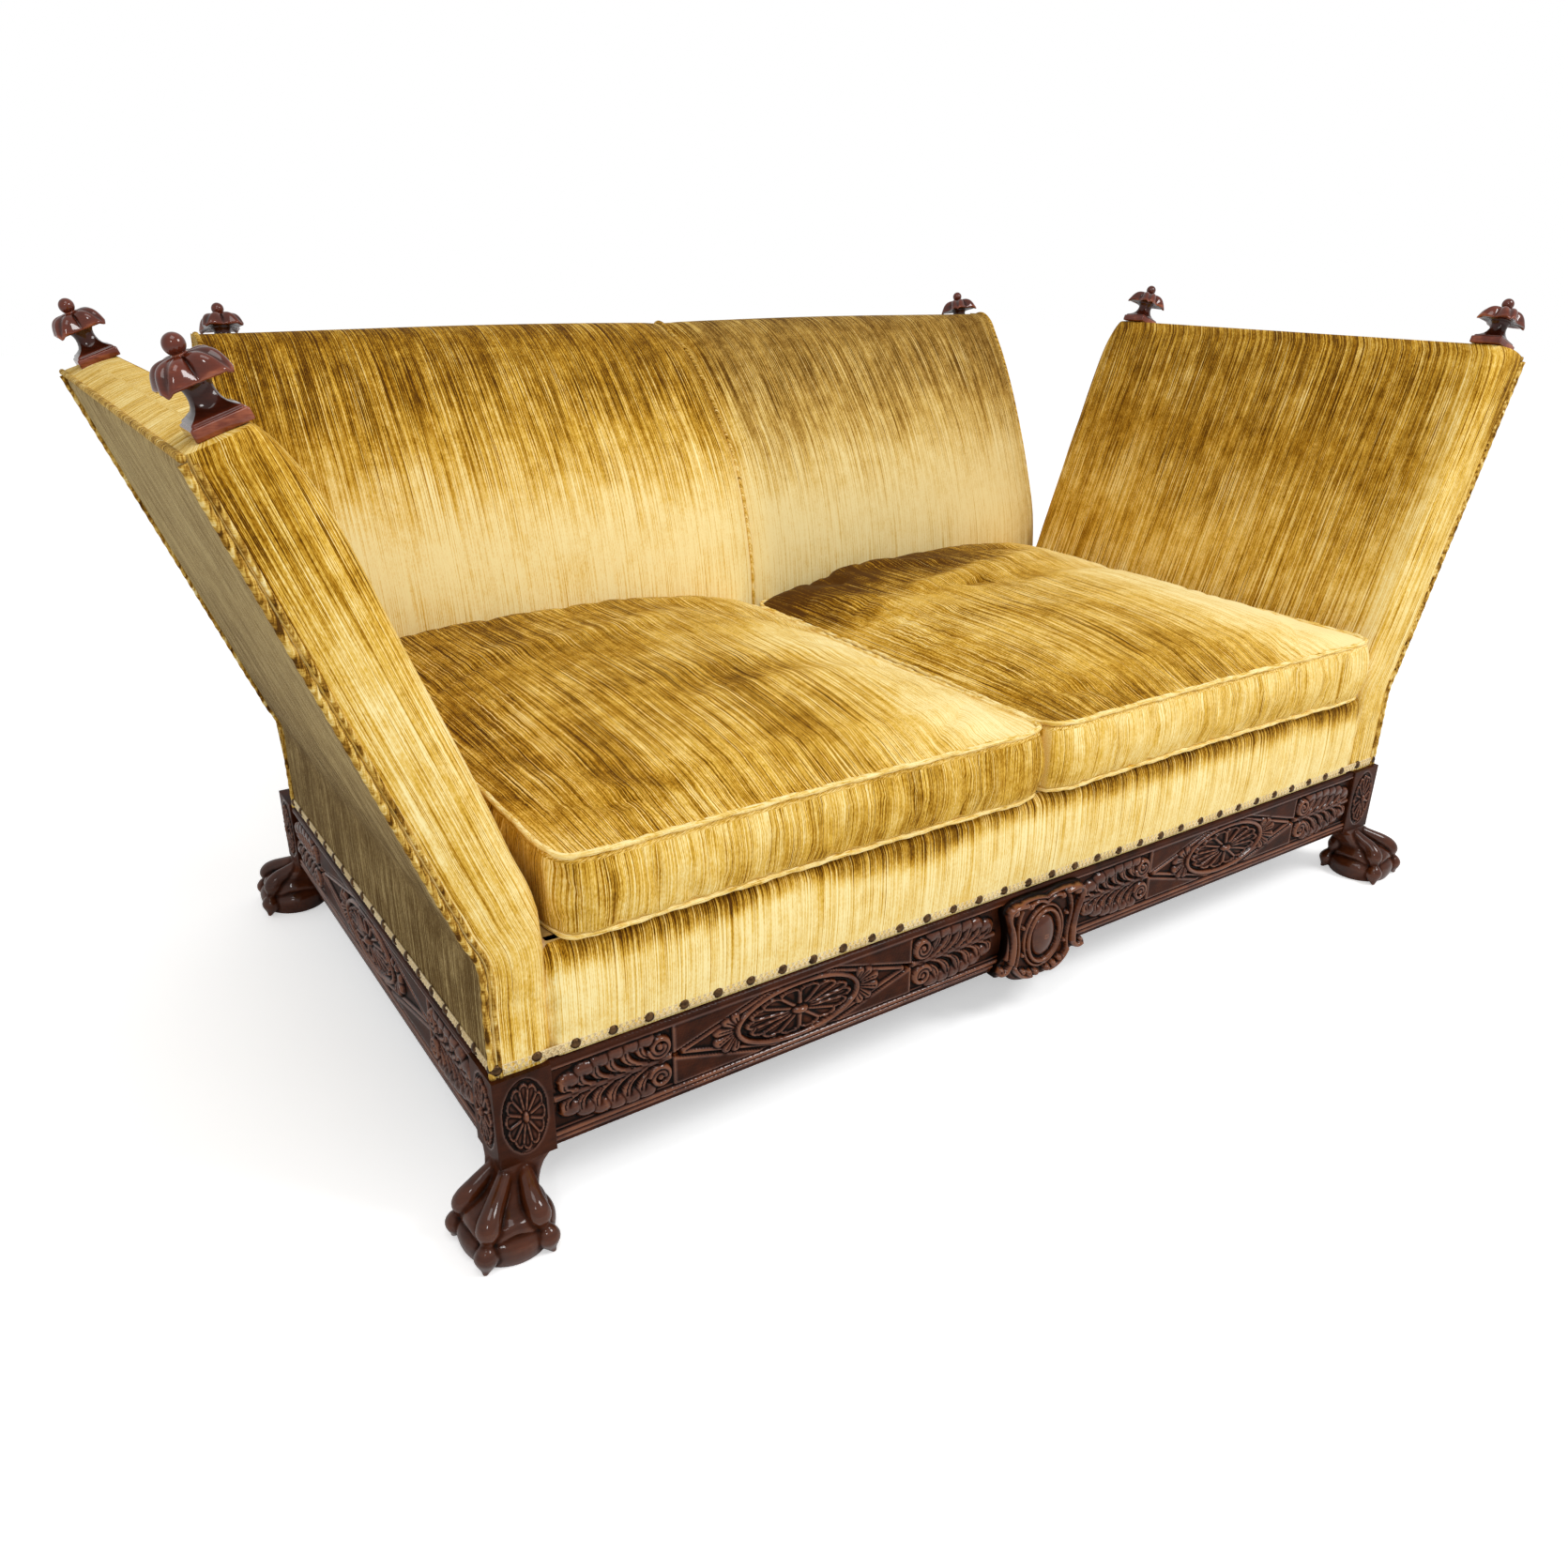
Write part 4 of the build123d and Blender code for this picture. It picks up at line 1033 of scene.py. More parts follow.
for sideName, sign in sides:
    for endName, y in (("front", -0.446), ("rear", 0.341)):
        points = armPlace(-0.006 + finialVerts[:, 0], y + finialVerts[:, 1], armLook["top"] + finialVerts[:, 2], sign)
        faces = finialFaces if sign > 0 else flipped(finialFaces)
        makeMesh("armFinial" + endName.title() + sideName.title(), points, faces, finialWood, "arm_" + sideName,
                 ("arm_finial_" + endName + "_" + sideName,), {"relief": finialTone})
    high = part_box("back_finial_" + sideName)[1]
    # the middle of the tilted foot, found from the box of the solid
    c, s = math.cos(finialLook["tilt"]), math.sin(finialLook["tilt"])
    ballUp, ballRadius = finialLook["solidBall"]
    turned = np.stack([finialVerts[:, 0], finialVerts[:, 1] * c + finialVerts[:, 2] * s,
                       -finialVerts[:, 1] * s + finialVerts[:, 2] * c], -1)
    place = np.array([sign * 0.812, high.y - midY - (ballUp * s + ballRadius), high.z - (ballUp * c + ballRadius)])
    makeMesh("backFinial" + sideName.title(), turned + place, finialFaces, finialWood, "base",
             ("back_finial_" + sideName,), {"relief": finialTone})
    print("back finial", sideName, "ball centre", place + [0, ballUp * s, ballUp * c])


# arms
def armSection(inner, outer, front, rearIn, rearOut, count):
    # closed plan outline: across, y; soft inner corners, tight outer ones with the welt
    outline = []
    corners = [((outer, front), 0.004), ((inner, front), 0.026), ((inner, rearIn), 0.018), ((outer, rearOut), 0.004)]
    points = np.array([corner for corner, _ in corners])
    for i, (corner, radius) in enumerate(corners):
        before, after = points[i - 1] - points[i], points[(i + 1) % 4] - points[i]
        before, after = before / np.linalg.norm(before), after / np.linalg.norm(after)
        outline.append(bend(points[i] + before * radius, points[i], points[i] + after * radius, 9))
    closed = np.vstack(outline + [outline[0][:1]])
    along = lengths(closed)
    spread = np.linspace(0, along[-1], count, endpoint=False)
    return np.stack([np.interp(spread, along, closed[:, k]) for k in (0, 1)], 1), spread


def armCover(sideName, sign):
    look = armLook
    count = 240
    lowZ, hingeZ = look["bandLow"], look["hinge"][1]
    stations = [*np.linspace(lowZ - hingeZ, -0.07, 7)[:-1], *np.linspace(-0.07, 0.13, 28)[:-1],
                *np.linspace(0.13, 0.560, 50)[:-1], *np.linspace(0.560, 0.6195, 16)]
    rings, layerCloth, layerShade, layerGreyShade = [], [], [], []
    crownFrom, crownOver, crownSize = look["crown"]
    for up in stations:
        above = max(up, 0.0)
        inner = through(look["innerKeys"], look["inner"], above) if up > 0 else -0.040
        crown = max(above - crownFrom, 0.0) / crownOver * crownSize
        outer = look["outside"] - crown + overRail(up)
        section, along = armSection(float(inner), outer, look["front"] + crown * 0.6, look["rearIn"],
                                    look["rearOut"] - crown * 0.5, count)
        across, y = section[:, 0].copy(), section[:, 1].copy()
        # the stuffing swells a little between the edges
        height = np.clip(above / 0.60, 0, 1)
        swell = np.sin(np.pi * np.clip(height, 0.02, 0.98)) ** 0.6 if up > 0 else 0.0
        depth = np.clip((y - look["front"]) / (look["rearIn"] - look["front"]), 0, 1)
        width = np.clip((across - inner) / (outer - inner), 0, 1)
        across -= look["swell"] * swell * np.sin(np.pi * depth) ** 0.7 * (width < 0.06)
        frontSwell = look["frontSwell"][1 if up > -0.05 else 0]
        y -= frontSwell * np.sin(np.pi * np.clip(width, 0, 1)) * (depth < 0.02)
        y += 0.0040 * np.sin(np.pi * width) * (depth > 0.98)
        rings.append(armPlace(across, y, up, sign, armLeanAt(up)))
        layerCloth.append(zoned(along, up, 3.0 + sign))
        # painted shade and sheen: the inner face darker towards the top and paler near the front edge, the front strip
        # darker towards the top, the outer face greyed and darker low down
        outside = step(width, 0.955, 0.985)
        front = step(0.03 - depth, 0.0, 0.02) * (1 - outside)
        edge = np.exp(-((y - look["front"] - 0.02) / 0.035) ** 2) * (width < 0.25)
        inside = 0.34 + 0.30 * step(up, 0.05, 0.60) - 0.36 * edge
        strip = 0.22 + 0.40 * step(up, 0.30, 0.60) * (0.4 + 0.6 * width)
        layerShade.append(np.where(outside > 0.5, 0.38 + 0.40 * (1 - step(up, -0.1, 0.4)),
                                   np.where(front > 0.5, strip, inside)))
        layerGreyShade.append(outside * 0.85)
    # close the top with a shallow crown, from the last ring
    for t in (0.06, 0.16, 0.32, 0.52, 0.74, 0.95):
        spineY = np.clip(y, look["front"] + 0.05, look["rearIn"] - 0.05)
        a = across + (0.004 - across) * t
        b = y + (spineY - y) * t
        rise = crownSize * math.sin(t * math.pi / 2)
        rings.append(armPlace(a, b, up + rise, sign))
        layerCloth.append(zoned(along, up + np.hypot(a - across, b - y), 3.0 + sign))
        layerShade.append(np.full(count, 0.22))
        layerGreyShade.append(np.zeros(count))
    grid = np.array(rings)
    faces = gridFaces(len(grid), count, False, True)
    verts = grid.reshape(-1, 3)
    faces.append([(len(grid) - 1) * count + i for i in range(count)])
    uneven = waves(5 + sign, verts, 0.22)
    verts = verts + np.stack([0.0007 * uneven, 0.0007 * waves(7, verts, 0.2), 0 * uneven], -1)
    if sign < 0:
        faces = flipped(faces)
    cover = velvetMesh("armCover" + sideName.title(), verts, faces, None, (), np.vstack(layerCloth),
                       np.concatenate(layerShade) + 0.06 * uneven, np.concatenate(layerGreyShade))
    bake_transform(cover)
    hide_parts("arm_pad_" + sideName, "arm_outer_panel_" + sideName, "arm_base_pad_" + sideName)
    # welts: up the front outer edge, over the top and down the rear outer edge
    ups = np.linspace(lowZ - hingeZ, 0.614, 200)
    edgeX = look["outside"] + 0.0008 + overRail(ups)
    welts = []
    for y in (look["front"] + 0.0012, look["rearOut"] - 0.001):
        welts.append(np.array([armPlace(x, y, up, sign, armLeanAt(up)) for x, up in zip(edgeX, ups)]))
    topPath = [armPlace(edgeX[-1] - 0.002, y, 0.6185, sign)
               for y in np.linspace(look["front"] + 0.003, look["rearOut"] - 0.003, 160)]
    parts = []
    for path in welts:
        wobble = 0.0004 * np.sin(np.arange(len(path)) * 1.3)
        parts.append(tube(path, look["welt"] + wobble, 10))
    # sewn flange beside the front welt
    parts.append(tube(welts[0] + [-sign * 0.0095, -0.0022, 0], look["flange"], 8))
    parts.append(tube(np.array(topPath), look["topWelt"], 10))
    verts, faces = joined(parts)
    weltCloth = zoned(verts[:, 0] * 0.3 + verts[:, 1] * 0.3, verts[:, 2] * 9, 9)
    welt = velvetMesh("armWelt" + sideName.title(), verts, faces, None, (), weltCloth,
                      0.46 + 0.16 * waves(3, verts, 0.05), 0.25)
    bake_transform(welt)


for sideName, sign in sides:
    armCover(sideName, sign)
print("arms covered")

# back
backLook = {
    "low": 0.220,
    "tall": 0.747,
    "nearest": 0.296,
    "deep": 0.399,
    "heights": (0, 0.22, 0.443, 0.545, 0.625, 0.72, 0.797, 0.88, 0.94, 0.985, 1.0, 0.995, 0.97),
    "middle": (0, 0.012, 0.032, 0.072, 0.12, 0.21, 0.327, 0.47, 0.60, 0.76, 0.87, 0.95, 1.0),
    "edge": (0.26, 0.276, 0.322, 0.388, 0.447, 0.527, 0.60, 0.69, 0.77, 0.84, 0.90, 0.96, 1.0),
    "edgeX": 0.832,
    "endX": 0.859,
    "rearFoot": 0.487,
    "seamDip": 0.016,
    "lean": 0.2871,  # how far the rear line leans back for each unit of height
    "panelEnd": 0.8585,
    "panelTop": 0.944,  # the outer cover reaches the roll
}


def backCurve(x, count=110):
    # front of the back from the foot over the roll to the rear top edge, at one place across
    look = backLook
    share = min(abs(x) / look["edgeX"], 1.0) ** 2
    depth = np.array(look["middle"]) * (1 - share) + np.array(look["edge"]) * share
    y = look["nearest"] + depth * look["deep"]
    z = look["low"] + np.array(look["heights"]) * look["tall"]
    keys = np.concatenate([[0], np.cumsum(np.hypot(np.diff(y), np.diff(z)))])
    at = np.linspace(0, keys[-1], count)
    y, z = through(keys, y, at), through(keys, z, at)
    past = np.clip((abs(x) - look["edgeX"]) / (look["endX"] - look["edgeX"]), 0, 1)
    frontness = 1 - (y - look["nearest"]) / look["deep"]
    y = y + 0.032 * past ** 2 * np.clip(frontness, 0, 1)
    return y, z, at


def backPushed(y, z, along, push):
    # the curve moved out along its own normal
    dy, dz = np.gradient(y, along), np.gradient(z, along)
    size = np.hypot(dy, dz)
    return y - dz / size * push, z + dy / size * push


def backLive(along):
    # 1 where the stuffing can move, 0 at the foot and at the rear edge
    return step(along, 0.0, 0.12) * (1 - step(along, along[-1] - 0.10, along[-1] - 0.02))


def backRear(z):
    return backLook["rearFoot"] + (z - backLook["low"]) * backLook["lean"]


def backCover():
    look = backLook
    half = np.concatenate([np.linspace(0, 0.05, 16), np.linspace(0.05, 0.80, 60)[1:],
                           np.linspace(0.80, look["endX"], 16)[1:]])
    xs = np.concatenate([-half[::-1], half[1:]])
    columns = []
    clothLayer, shadeLayer = [], []
    count = 110
    for x in xs:
        y, z, along = backCurve(x, count)
        # pulled in at the seam, fuller in the middle of each half
        seam = np.exp(-(abs(x) / 0.022) ** 1.2)
        full = math.sin(math.pi * min(abs(x) / look["edgeX"], 1)) ** 0.8
        push = backLive(along) * (0.010 * full - look["seamDip"] * seam)
        columns.append(np.stack([np.full(count, x), *backPushed(y, z, along, push)], -1))
        clothLayer.append(zoned(x, along, 1))
        # painted shade and sheen: darker towards the top of the roll, a little paler over the right half, darker
        # towards the ends and paler along the seam
        dark = step(z, 0.60, 0.92)
        lowBand = -0.04 + 0.74 * dark
        lowBand = lowBand * (0.92 if x > 0 else 1.0) + 0.10 * step(abs(x), 0.70, 0.83)
        shadeLayer.append(lowBand - 0.10 * seam)
    grid = np.array(columns)
    verts = grid.reshape(-1, 3)
    faces = gridFaces(len(xs), count)
    shade = np.concatenate(shadeLayer)
    cloth = np.concatenate(clothLayer)
    # end faces between the curve and the leaning rear line
    parts = [(verts, faces)]
    endCloth, endShade = [cloth], [shade]
    for sign in (-1, 1):
        edge = grid[0] if sign < 0 else grid[-1]
        rear = np.stack([edge[:, 0], backRear(edge[:, 2]), edge[:, 2]], -1)
        rear[:, 1] = np.maximum(rear[:, 1], edge[:, 1])
        t = np.linspace(0, 1, 14)[:, None, None]
        sheet = edge[None] * (1 - t) + rear[None] * t
        sheet[..., 0] += sign * 0.0025 * np.sin(np.pi * t[..., 0])
        sheetFaces = gridFaces(14, count)
        parts.append((sheet.reshape(-1, 3), sheetFaces if sign < 0 else flipped(sheetFaces)))
        endCloth.append(zoned(sheet[..., 1], sheet[..., 2], 2).reshape(-1, 3))
        endShade.append(np.full(14 * count, 0.42))
    verts, faces = joined(parts)
    shade = np.concatenate(endShade)
    shade = shade + 0.05 * waves(11, verts, 0.25)
    uneven = waves(21, verts, 0.3)
    verts = verts + np.stack([0 * uneven, 0.0014 * uneven, 0 * uneven], -1)
    # greyer at both ends of the back and a little greyer over its right half
    worn = np.where(np.abs(verts[:, 0]) > 0.8575, 0.5, 0.34 * step(verts[:, 0], -0.02, 0.06))
    velvetMesh("backCover", verts, faces, "base", ("back_pad",), np.vstack(endCloth), shade, worn)
    # welts: the middle seam and both ends of the roll
    parts = []
    y, z, along = backCurve(0.0, 200)
    keep = z > 0.30
    lift = 0.0025 - look["seamDip"] * backLive(along)
    seamPath = np.stack([0 * y, *backPushed(y, z, along, lift)], -1)[keep]
    parts.append(tube(seamPath, 0.0036, 10))
    for sign in (-1, 1):
        y, z, along = backCurve(look["endX"], 200)
        keep = z > 0.24
        path = np.stack([np.full(len(y), sign * (look["endX"] - 0.001)), y, z], -1)[keep]
        parts.append(tube(path, 0.0040, 10))
    verts, faces = joined(parts)
    weltCloth = zoned(verts[:, 0] + verts[:, 1], verts[:, 2] * 14, 9)
    # painted shade, darker towards the top, as on the roll
    velvetMesh("backWelts", verts, faces, "base", (), weltCloth, 0.20 + 0.30 * step(verts[:, 2], 0.6, 0.9), 0.1)


def backPanel():
    look = backLook
    low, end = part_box("back_outer_panel")[0], look["panelEnd"]
    nx, nz = 90, 50
    xs = np.linspace(-end, end, nx)
    zs = np.linspace(low.z, look["panelTop"], nz)
    x, z = np.meshgrid(xs, zs, indexing="ij")
    sag = 0.0015 * np.sin(np.pi * (x / end + 1) / 2) * np.sin(np.pi * (z - zs[0]) / (zs[-1] - zs[0]))
    outer = np.stack([x, backRear(z) + sag, z], -1)
    innerSkin = np.stack([x, backRear(z) - 0.003, z], -1)
    faces = gridFaces(nx, nz)
    skin = nx * nz  # points of one skin
    last = skin - nz
    edge = [[i * nz, (i + 1) * nz, skin + (i + 1) * nz, skin + i * nz] for i in range(nx - 1)]
    edge += [[skin + (i + 1) * nz - 1, skin + (i + 2) * nz - 1, (i + 2) * nz - 1, (i + 1) * nz - 1]
             for i in range(nx - 1)]
    edge += [[i + 1, i, skin + i, skin + i + 1] for i in range(nz - 1)]
    edge += [[last + i, last + i + 1, skin + last + i + 1, skin + last + i] for i in range(nz - 1)]
    faces = flipped(faces) + [[i + skin for i in face] for face in faces] + edge
    verts = np.vstack([outer.reshape(-1, 3), innerSkin.reshape(-1, 3)])
    velvetMesh("backOuterPanel", verts, faces, "base", ("back_outer_panel",), zoned(verts[:, 0], verts[:, 2], 5),
               0.45 + 0.08 * waves(31, verts, 0.4), 0.7)
    rim = [np.array([(sign * 0.8575, backRear(z), z) for z in np.linspace(0.224, 0.940, 120)]) for sign in (-1, 1)]
    rim.append(np.array([(x, backRear(0.943), 0.943) for x in np.linspace(-0.857, 0.857, 200)]))
    verts, faces = joined([tube(path, 0.0038, 10) for path in rim])
    weltCloth = zoned(verts[:, 0] + verts[:, 1], verts[:, 2] * 14, 9)
    velvetMesh("backRearWelts", verts, faces, "base", (), weltCloth, 0.4, 0.5)


backCover()
backPanel()
print("back covered")


# front border
borderLook = {
    "reach": 0.8000,  # its ends go behind the arm covers
    "edge": 0.022,  # radius of the front top edge
    "bottom": 0.220,
    "swell": 0.0060,
    "tuck": 0.012,  # how far its ends are drawn back
}


def frontBorder():
    look = borderLook
    low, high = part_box("front_border")
    reach, edge, bottom = look["reach"], look["edge"], look["bottom"]
    xs = np.linspace(-reach, reach, 160)
    rows = []
    front, depth, top = low.y - midY, high.y - midY, high.z
    outline = []
    for z in np.linspace(bottom, top - edge, 24):
        outline.append((front, z))
    for t in np.linspace(0, 1, 12)[1:]:
        a = t * math.pi / 2
        outline.append((front + edge * (1 - math.cos(a)), top - edge + edge * math.sin(a)))
    for y in np.linspace(front + edge, depth, 8)[1:]:
        outline.append((y, top))
    outline = np.array(outline)
    along = lengths(outline)
    for x in xs:
        share = (x + reach) / (2 * reach)
        ends = min(1, min(share, 1 - share) * 28)
        swell = look["swell"] * np.sin(np.pi * np.clip((outline[:, 1] - bottom) / (top - bottom), 0, 1))
        swell = swell * (0.4 + 0.6 * ends)
        y = outline[:, 0] - swell * (outline[:, 0] < front + 0.02)
        y = y + look["tuck"] * math.exp(-((reach - abs(x)) / 0.006) ** 2) * (outline[:, 0] < front + 0.02)
        # pulls where the border meets the arms
        y = y + 0.0018 * math.exp(-min(share, 1 - share) * 120) * np.sin(outline[:, 1] * 160)
        rows.append(np.stack([np.full(len(y), x), y, outline[:, 1]], -1))
    grid = np.array(rows)
    verts = grid.reshape(-1, 3)
    cloth = zoned(verts[:, 0], np.tile(along, len(xs)), 7)
    patchy = waves(41, verts * [1, 1, 0], 0.35)
    # painted shade along the top edge, under the cushions, its lower edge made ragged
    shadeUnderCushions = step(verts[:, 2] + 0.014 * patchy, top - 0.050, top - 0.008)
    shade = 0.06 + 0.62 * shadeUnderCushions + 0.03 * patchy
    velvetMesh("frontBorder", verts, gridFaces(len(xs), len(outline)), "base", ("front_border",), cloth, shade, 0)


frontBorder()
print("border covered")

# seat cushions
cushionLook = {
    # plan; the two cushions meet a little left of the middle
    "corners": {"right": [(-0.014, -0.496), (0.780, -0.496), (0.780, 0.380), (-0.014, 0.296)],
                "left": [(0.018, -0.496), (0.780, -0.496), (0.780, 0.380), (0.018, 0.296)]},
    "low": 0.3735,
    "welt": 0.4795,
    "drawn": 0.007,
    "rearBow": 0.022,
    "sideRoom": 0.7830,  # the raised arm comes down to here
    "crown": 0.062,
    "rearRise": 0.14,  # the crown's extra height towards the back
    "slack": 0.72,  # share of the crown before the stuffing pushes
    # crown from an edge inwards: share of the width, share of the crown
    "profile": ((0, 0), (0.036, 0.18), (0.06, 0.30), (0.10, 0.47), (0.15, 0.63), (0.21, 0.78), (0.28, 0.88),
                (0.38, 0.98), (0.50, 1.0)),
    "round": 0.030,
    "bulge": 0.011,
    "across": 76,
    "deep": 84,
    "band": 11,
    # soft folds and hollows: start, pull, end in plan, width and height
    "folds": {
        "right": [
            (((0.10, 0.24), (0.22, 0.16), (0.30, 0.02)), 0.040, -0.0095),
            (((0.17, 0.27), (0.30, 0.20), (0.40, 0.06)), 0.034, 0.0075),
            (((0.24, 0.10), (0.40, 0.12), (0.60, 0.24)), 0.036, -0.0080),
            (((0.20, 0.06), (0.38, 0.05), (0.62, 0.16)), 0.032, 0.0065),
            (((0.34, -0.02), (0.50, 0.03), (0.70, 0.04)), 0.040, -0.0060),
            (((0.05, 0.16), (0.12, 0.06), (0.16, -0.06)), 0.030, 0.0050),
        ],
        "left": [
            (((0.60, -0.42), (0.66, -0.36), (0.74, -0.22)), 0.030, -0.0050),
            (((0.08, -0.20), (0.24, -0.16), (0.44, -0.20)), 0.050, -0.0050),
            (((0.30, 0.12), (0.46, 0.06), (0.62, 0.10)), 0.040, 0.0040),
            (((0.05, 0.02), (0.16, 0.08), (0.24, 0.20)), 0.034, -0.0045),
        ],
    },
    "pressure": 4.0,
    "frames": 20,
    "cap": 0.022,
}


def cushionPlan(s, t, sideName):
    # s across 0 to 1, t front 0 to rear 1
    c = np.array(cushionLook["corners"][sideName])
    point = ((1 - s) * (1 - t))[..., None] * c[0] + (s * (1 - t))[..., None] * c[1] \
        + (s * t)[..., None] * c[2] + ((1 - s) * t)[..., None] * c[3]
    drawn = cushionLook["drawn"]
    point[..., 0] += drawn * np.sin(np.pi * t) * (1 - 2 * s)
    point[..., 1] += drawn * np.sin(np.pi * s) * (1 - t) - cushionLook["rearBow"] * np.sin(np.pi * s) * t
    # round the corners
    corner = np.clip((np.abs(2 * s - 1) + np.abs(2 * t - 1) - 1.86) / 0.14, 0, 1)
    middle = c.mean(0)
    inward = (middle - point) / (np.linalg.norm(middle - point, axis=-1)[..., None] + 1e-9)
    return point + inward * (corner ** 1.6 * cushionLook["round"] * 0.55)[..., None]


def crownShare(share):
    keys, values = zip(*cushionLook["profile"])
    return through(np.array(keys), np.array(values), np.minimum(share, 1 - share))


def cushionForm(sideName):
    look = cushionLook
    nx, ny, nb = look["across"], look["deep"], look["band"]
    s, t = np.meshgrid(np.linspace(0, 1, nx), np.linspace(0, 1, ny), indexing="ij")
    plan = cushionPlan(s, t, sideName)
    # the crown falls more steeply at the rear than at the front
    deepShare = np.where(t < 0.5, crownShare(t), crownShare(1 - (1 - t) ** 0.42 * 0.5 ** 0.58))
    dome = crownShare(s) * (1 + look["rearRise"] * step(t, 0.35, 0.92)) * deepShare
    top = np.concatenate([plan, (look["welt"] + look["crown"] * look["slack"] * dome)[..., None]], -1).reshape(-1, 3)
    under = np.concatenate([plan, (look["low"] + 0 * dome)[..., None]], -1).reshape(-1, 3)
    index = np.arange(nx * ny).reshape(nx, ny)
    rim = np.concatenate([index[:-1, 0], index[-1, :-1], index[:0:-1, -1], index[0, :0:-1]])
    count = len(rim)
    ring = top[rim]
    along = lengths(ring[:, :2])
    tangent = np.roll(ring, -1, 0)[:, :2] - np.roll(ring, 1, 0)[:, :2]
    outward = np.stack([tangent[:, 1], -tangent[:, 0]], -1)
    outward /= np.linalg.norm(outward, axis=1)[:, None]
    band = []
    for k in range(1, nb):
        share = k / nb
        z = look["welt"] + (look["low"] - look["welt"]) * share
        puff = look["bulge"] * math.sin(math.pi * share) ** 0.8
        rearRoom = np.where(ring[:, 1] > 0.2, 0.15, 1.0)  # little room against the back
        sideRoom = np.where(np.abs(outward[:, 0]) > 0.7, 0.30, 1.0)
        nearCorner = np.min([np.hypot(ring[:, 0] - cx, ring[:, 1] + 0.49) for cx in (0.005, 0.785)], 0)
        pull = (0.0042 * np.sin(along * 125 + 2.2 * share) * np.exp(-(nearCorner / 0.07) ** 2)
                * math.sin(math.pi * share))
        push = outward * (puff * rearRoom * sideRoom + pull)[:, None]
        band.append(np.concatenate([ring[:, :2] + push, np.full((count, 1), z)], 1))
    parts = [top, under] + band
    verts = np.vstack(parts)
    offset = nx * ny
    faces = gridFaces(nx, ny)
    faces += flipped(gridFaces(nx, ny, first=offset))
    rows = [rim] + [np.arange(count) + 2 * offset + k * count for k in range(nb - 1)] + [rim + offset]
    for a, b in zip(rows[:-1], rows[1:]):
        for i in range(count):
            j = (i + 1) % count
            faces.append([int(a[i]), int(b[i]), int(b[j]), int(a[j])])
    # cloth directions: front to rear on the faces, up and down on the band
    cloth = np.zeros((len(verts), 3))
    cloth[:offset] = zoned(top[:, 0], top[:, 1], 11)
    cloth[offset:2 * offset] = zoned(under[:, 0], under[:, 1], 13)
    for k in range(nb - 1):
        first = 2 * offset + k * count
        cloth[first:first + count] = zoned(along, band[k][:, 2], 11)
    return verts, faces, cloth, rim, offset, dome


def simulated(verts, faces, pinned):
    # stuffing pressure on the cover with its seams held
    look = cushionLook
    obj = newObject("cushionTrial", verts, faces)
    faceOutward(obj.data)
    group = obj.vertex_groups.new(name="seams")
    group.add([int(i) for i in pinned], 1.0, "REPLACE")
    mod = obj.modifiers.new("stuffing", "CLOTH")
    settings = mod.settings
    settings.quality = 5
    settings.mass = 0.3
    settings.tension_stiffness = settings.compression_stiffness = 12
    settings.shear_stiffness = 6
    settings.bending_stiffness = 0.6
    settings.use_pressure = True
    settings.uniform_pressure_force = look["pressure"]
    settings.vertex_group_mass = "seams"
    settings.pin_stiffness = 1.0
    settings.shrink_min = -0.025
    settings.effector_weights.gravity = 0.0
    mod.collision_settings.use_self_collision = False
    mod.point_cache.frame_start, mod.point_cache.frame_end = 1, look["frames"]
    scene = bpy.context.scene
    for number in range(1, look["frames"] + 1):
        scene.frame_set(number)
    result = evaluated(obj)[0]
    scene.frame_set(1)
    move = result - verts
    size = np.linalg.norm(move, axis=1)[:, None] + 1e-12
    return verts + move * np.minimum(1, look["cap"] / size)


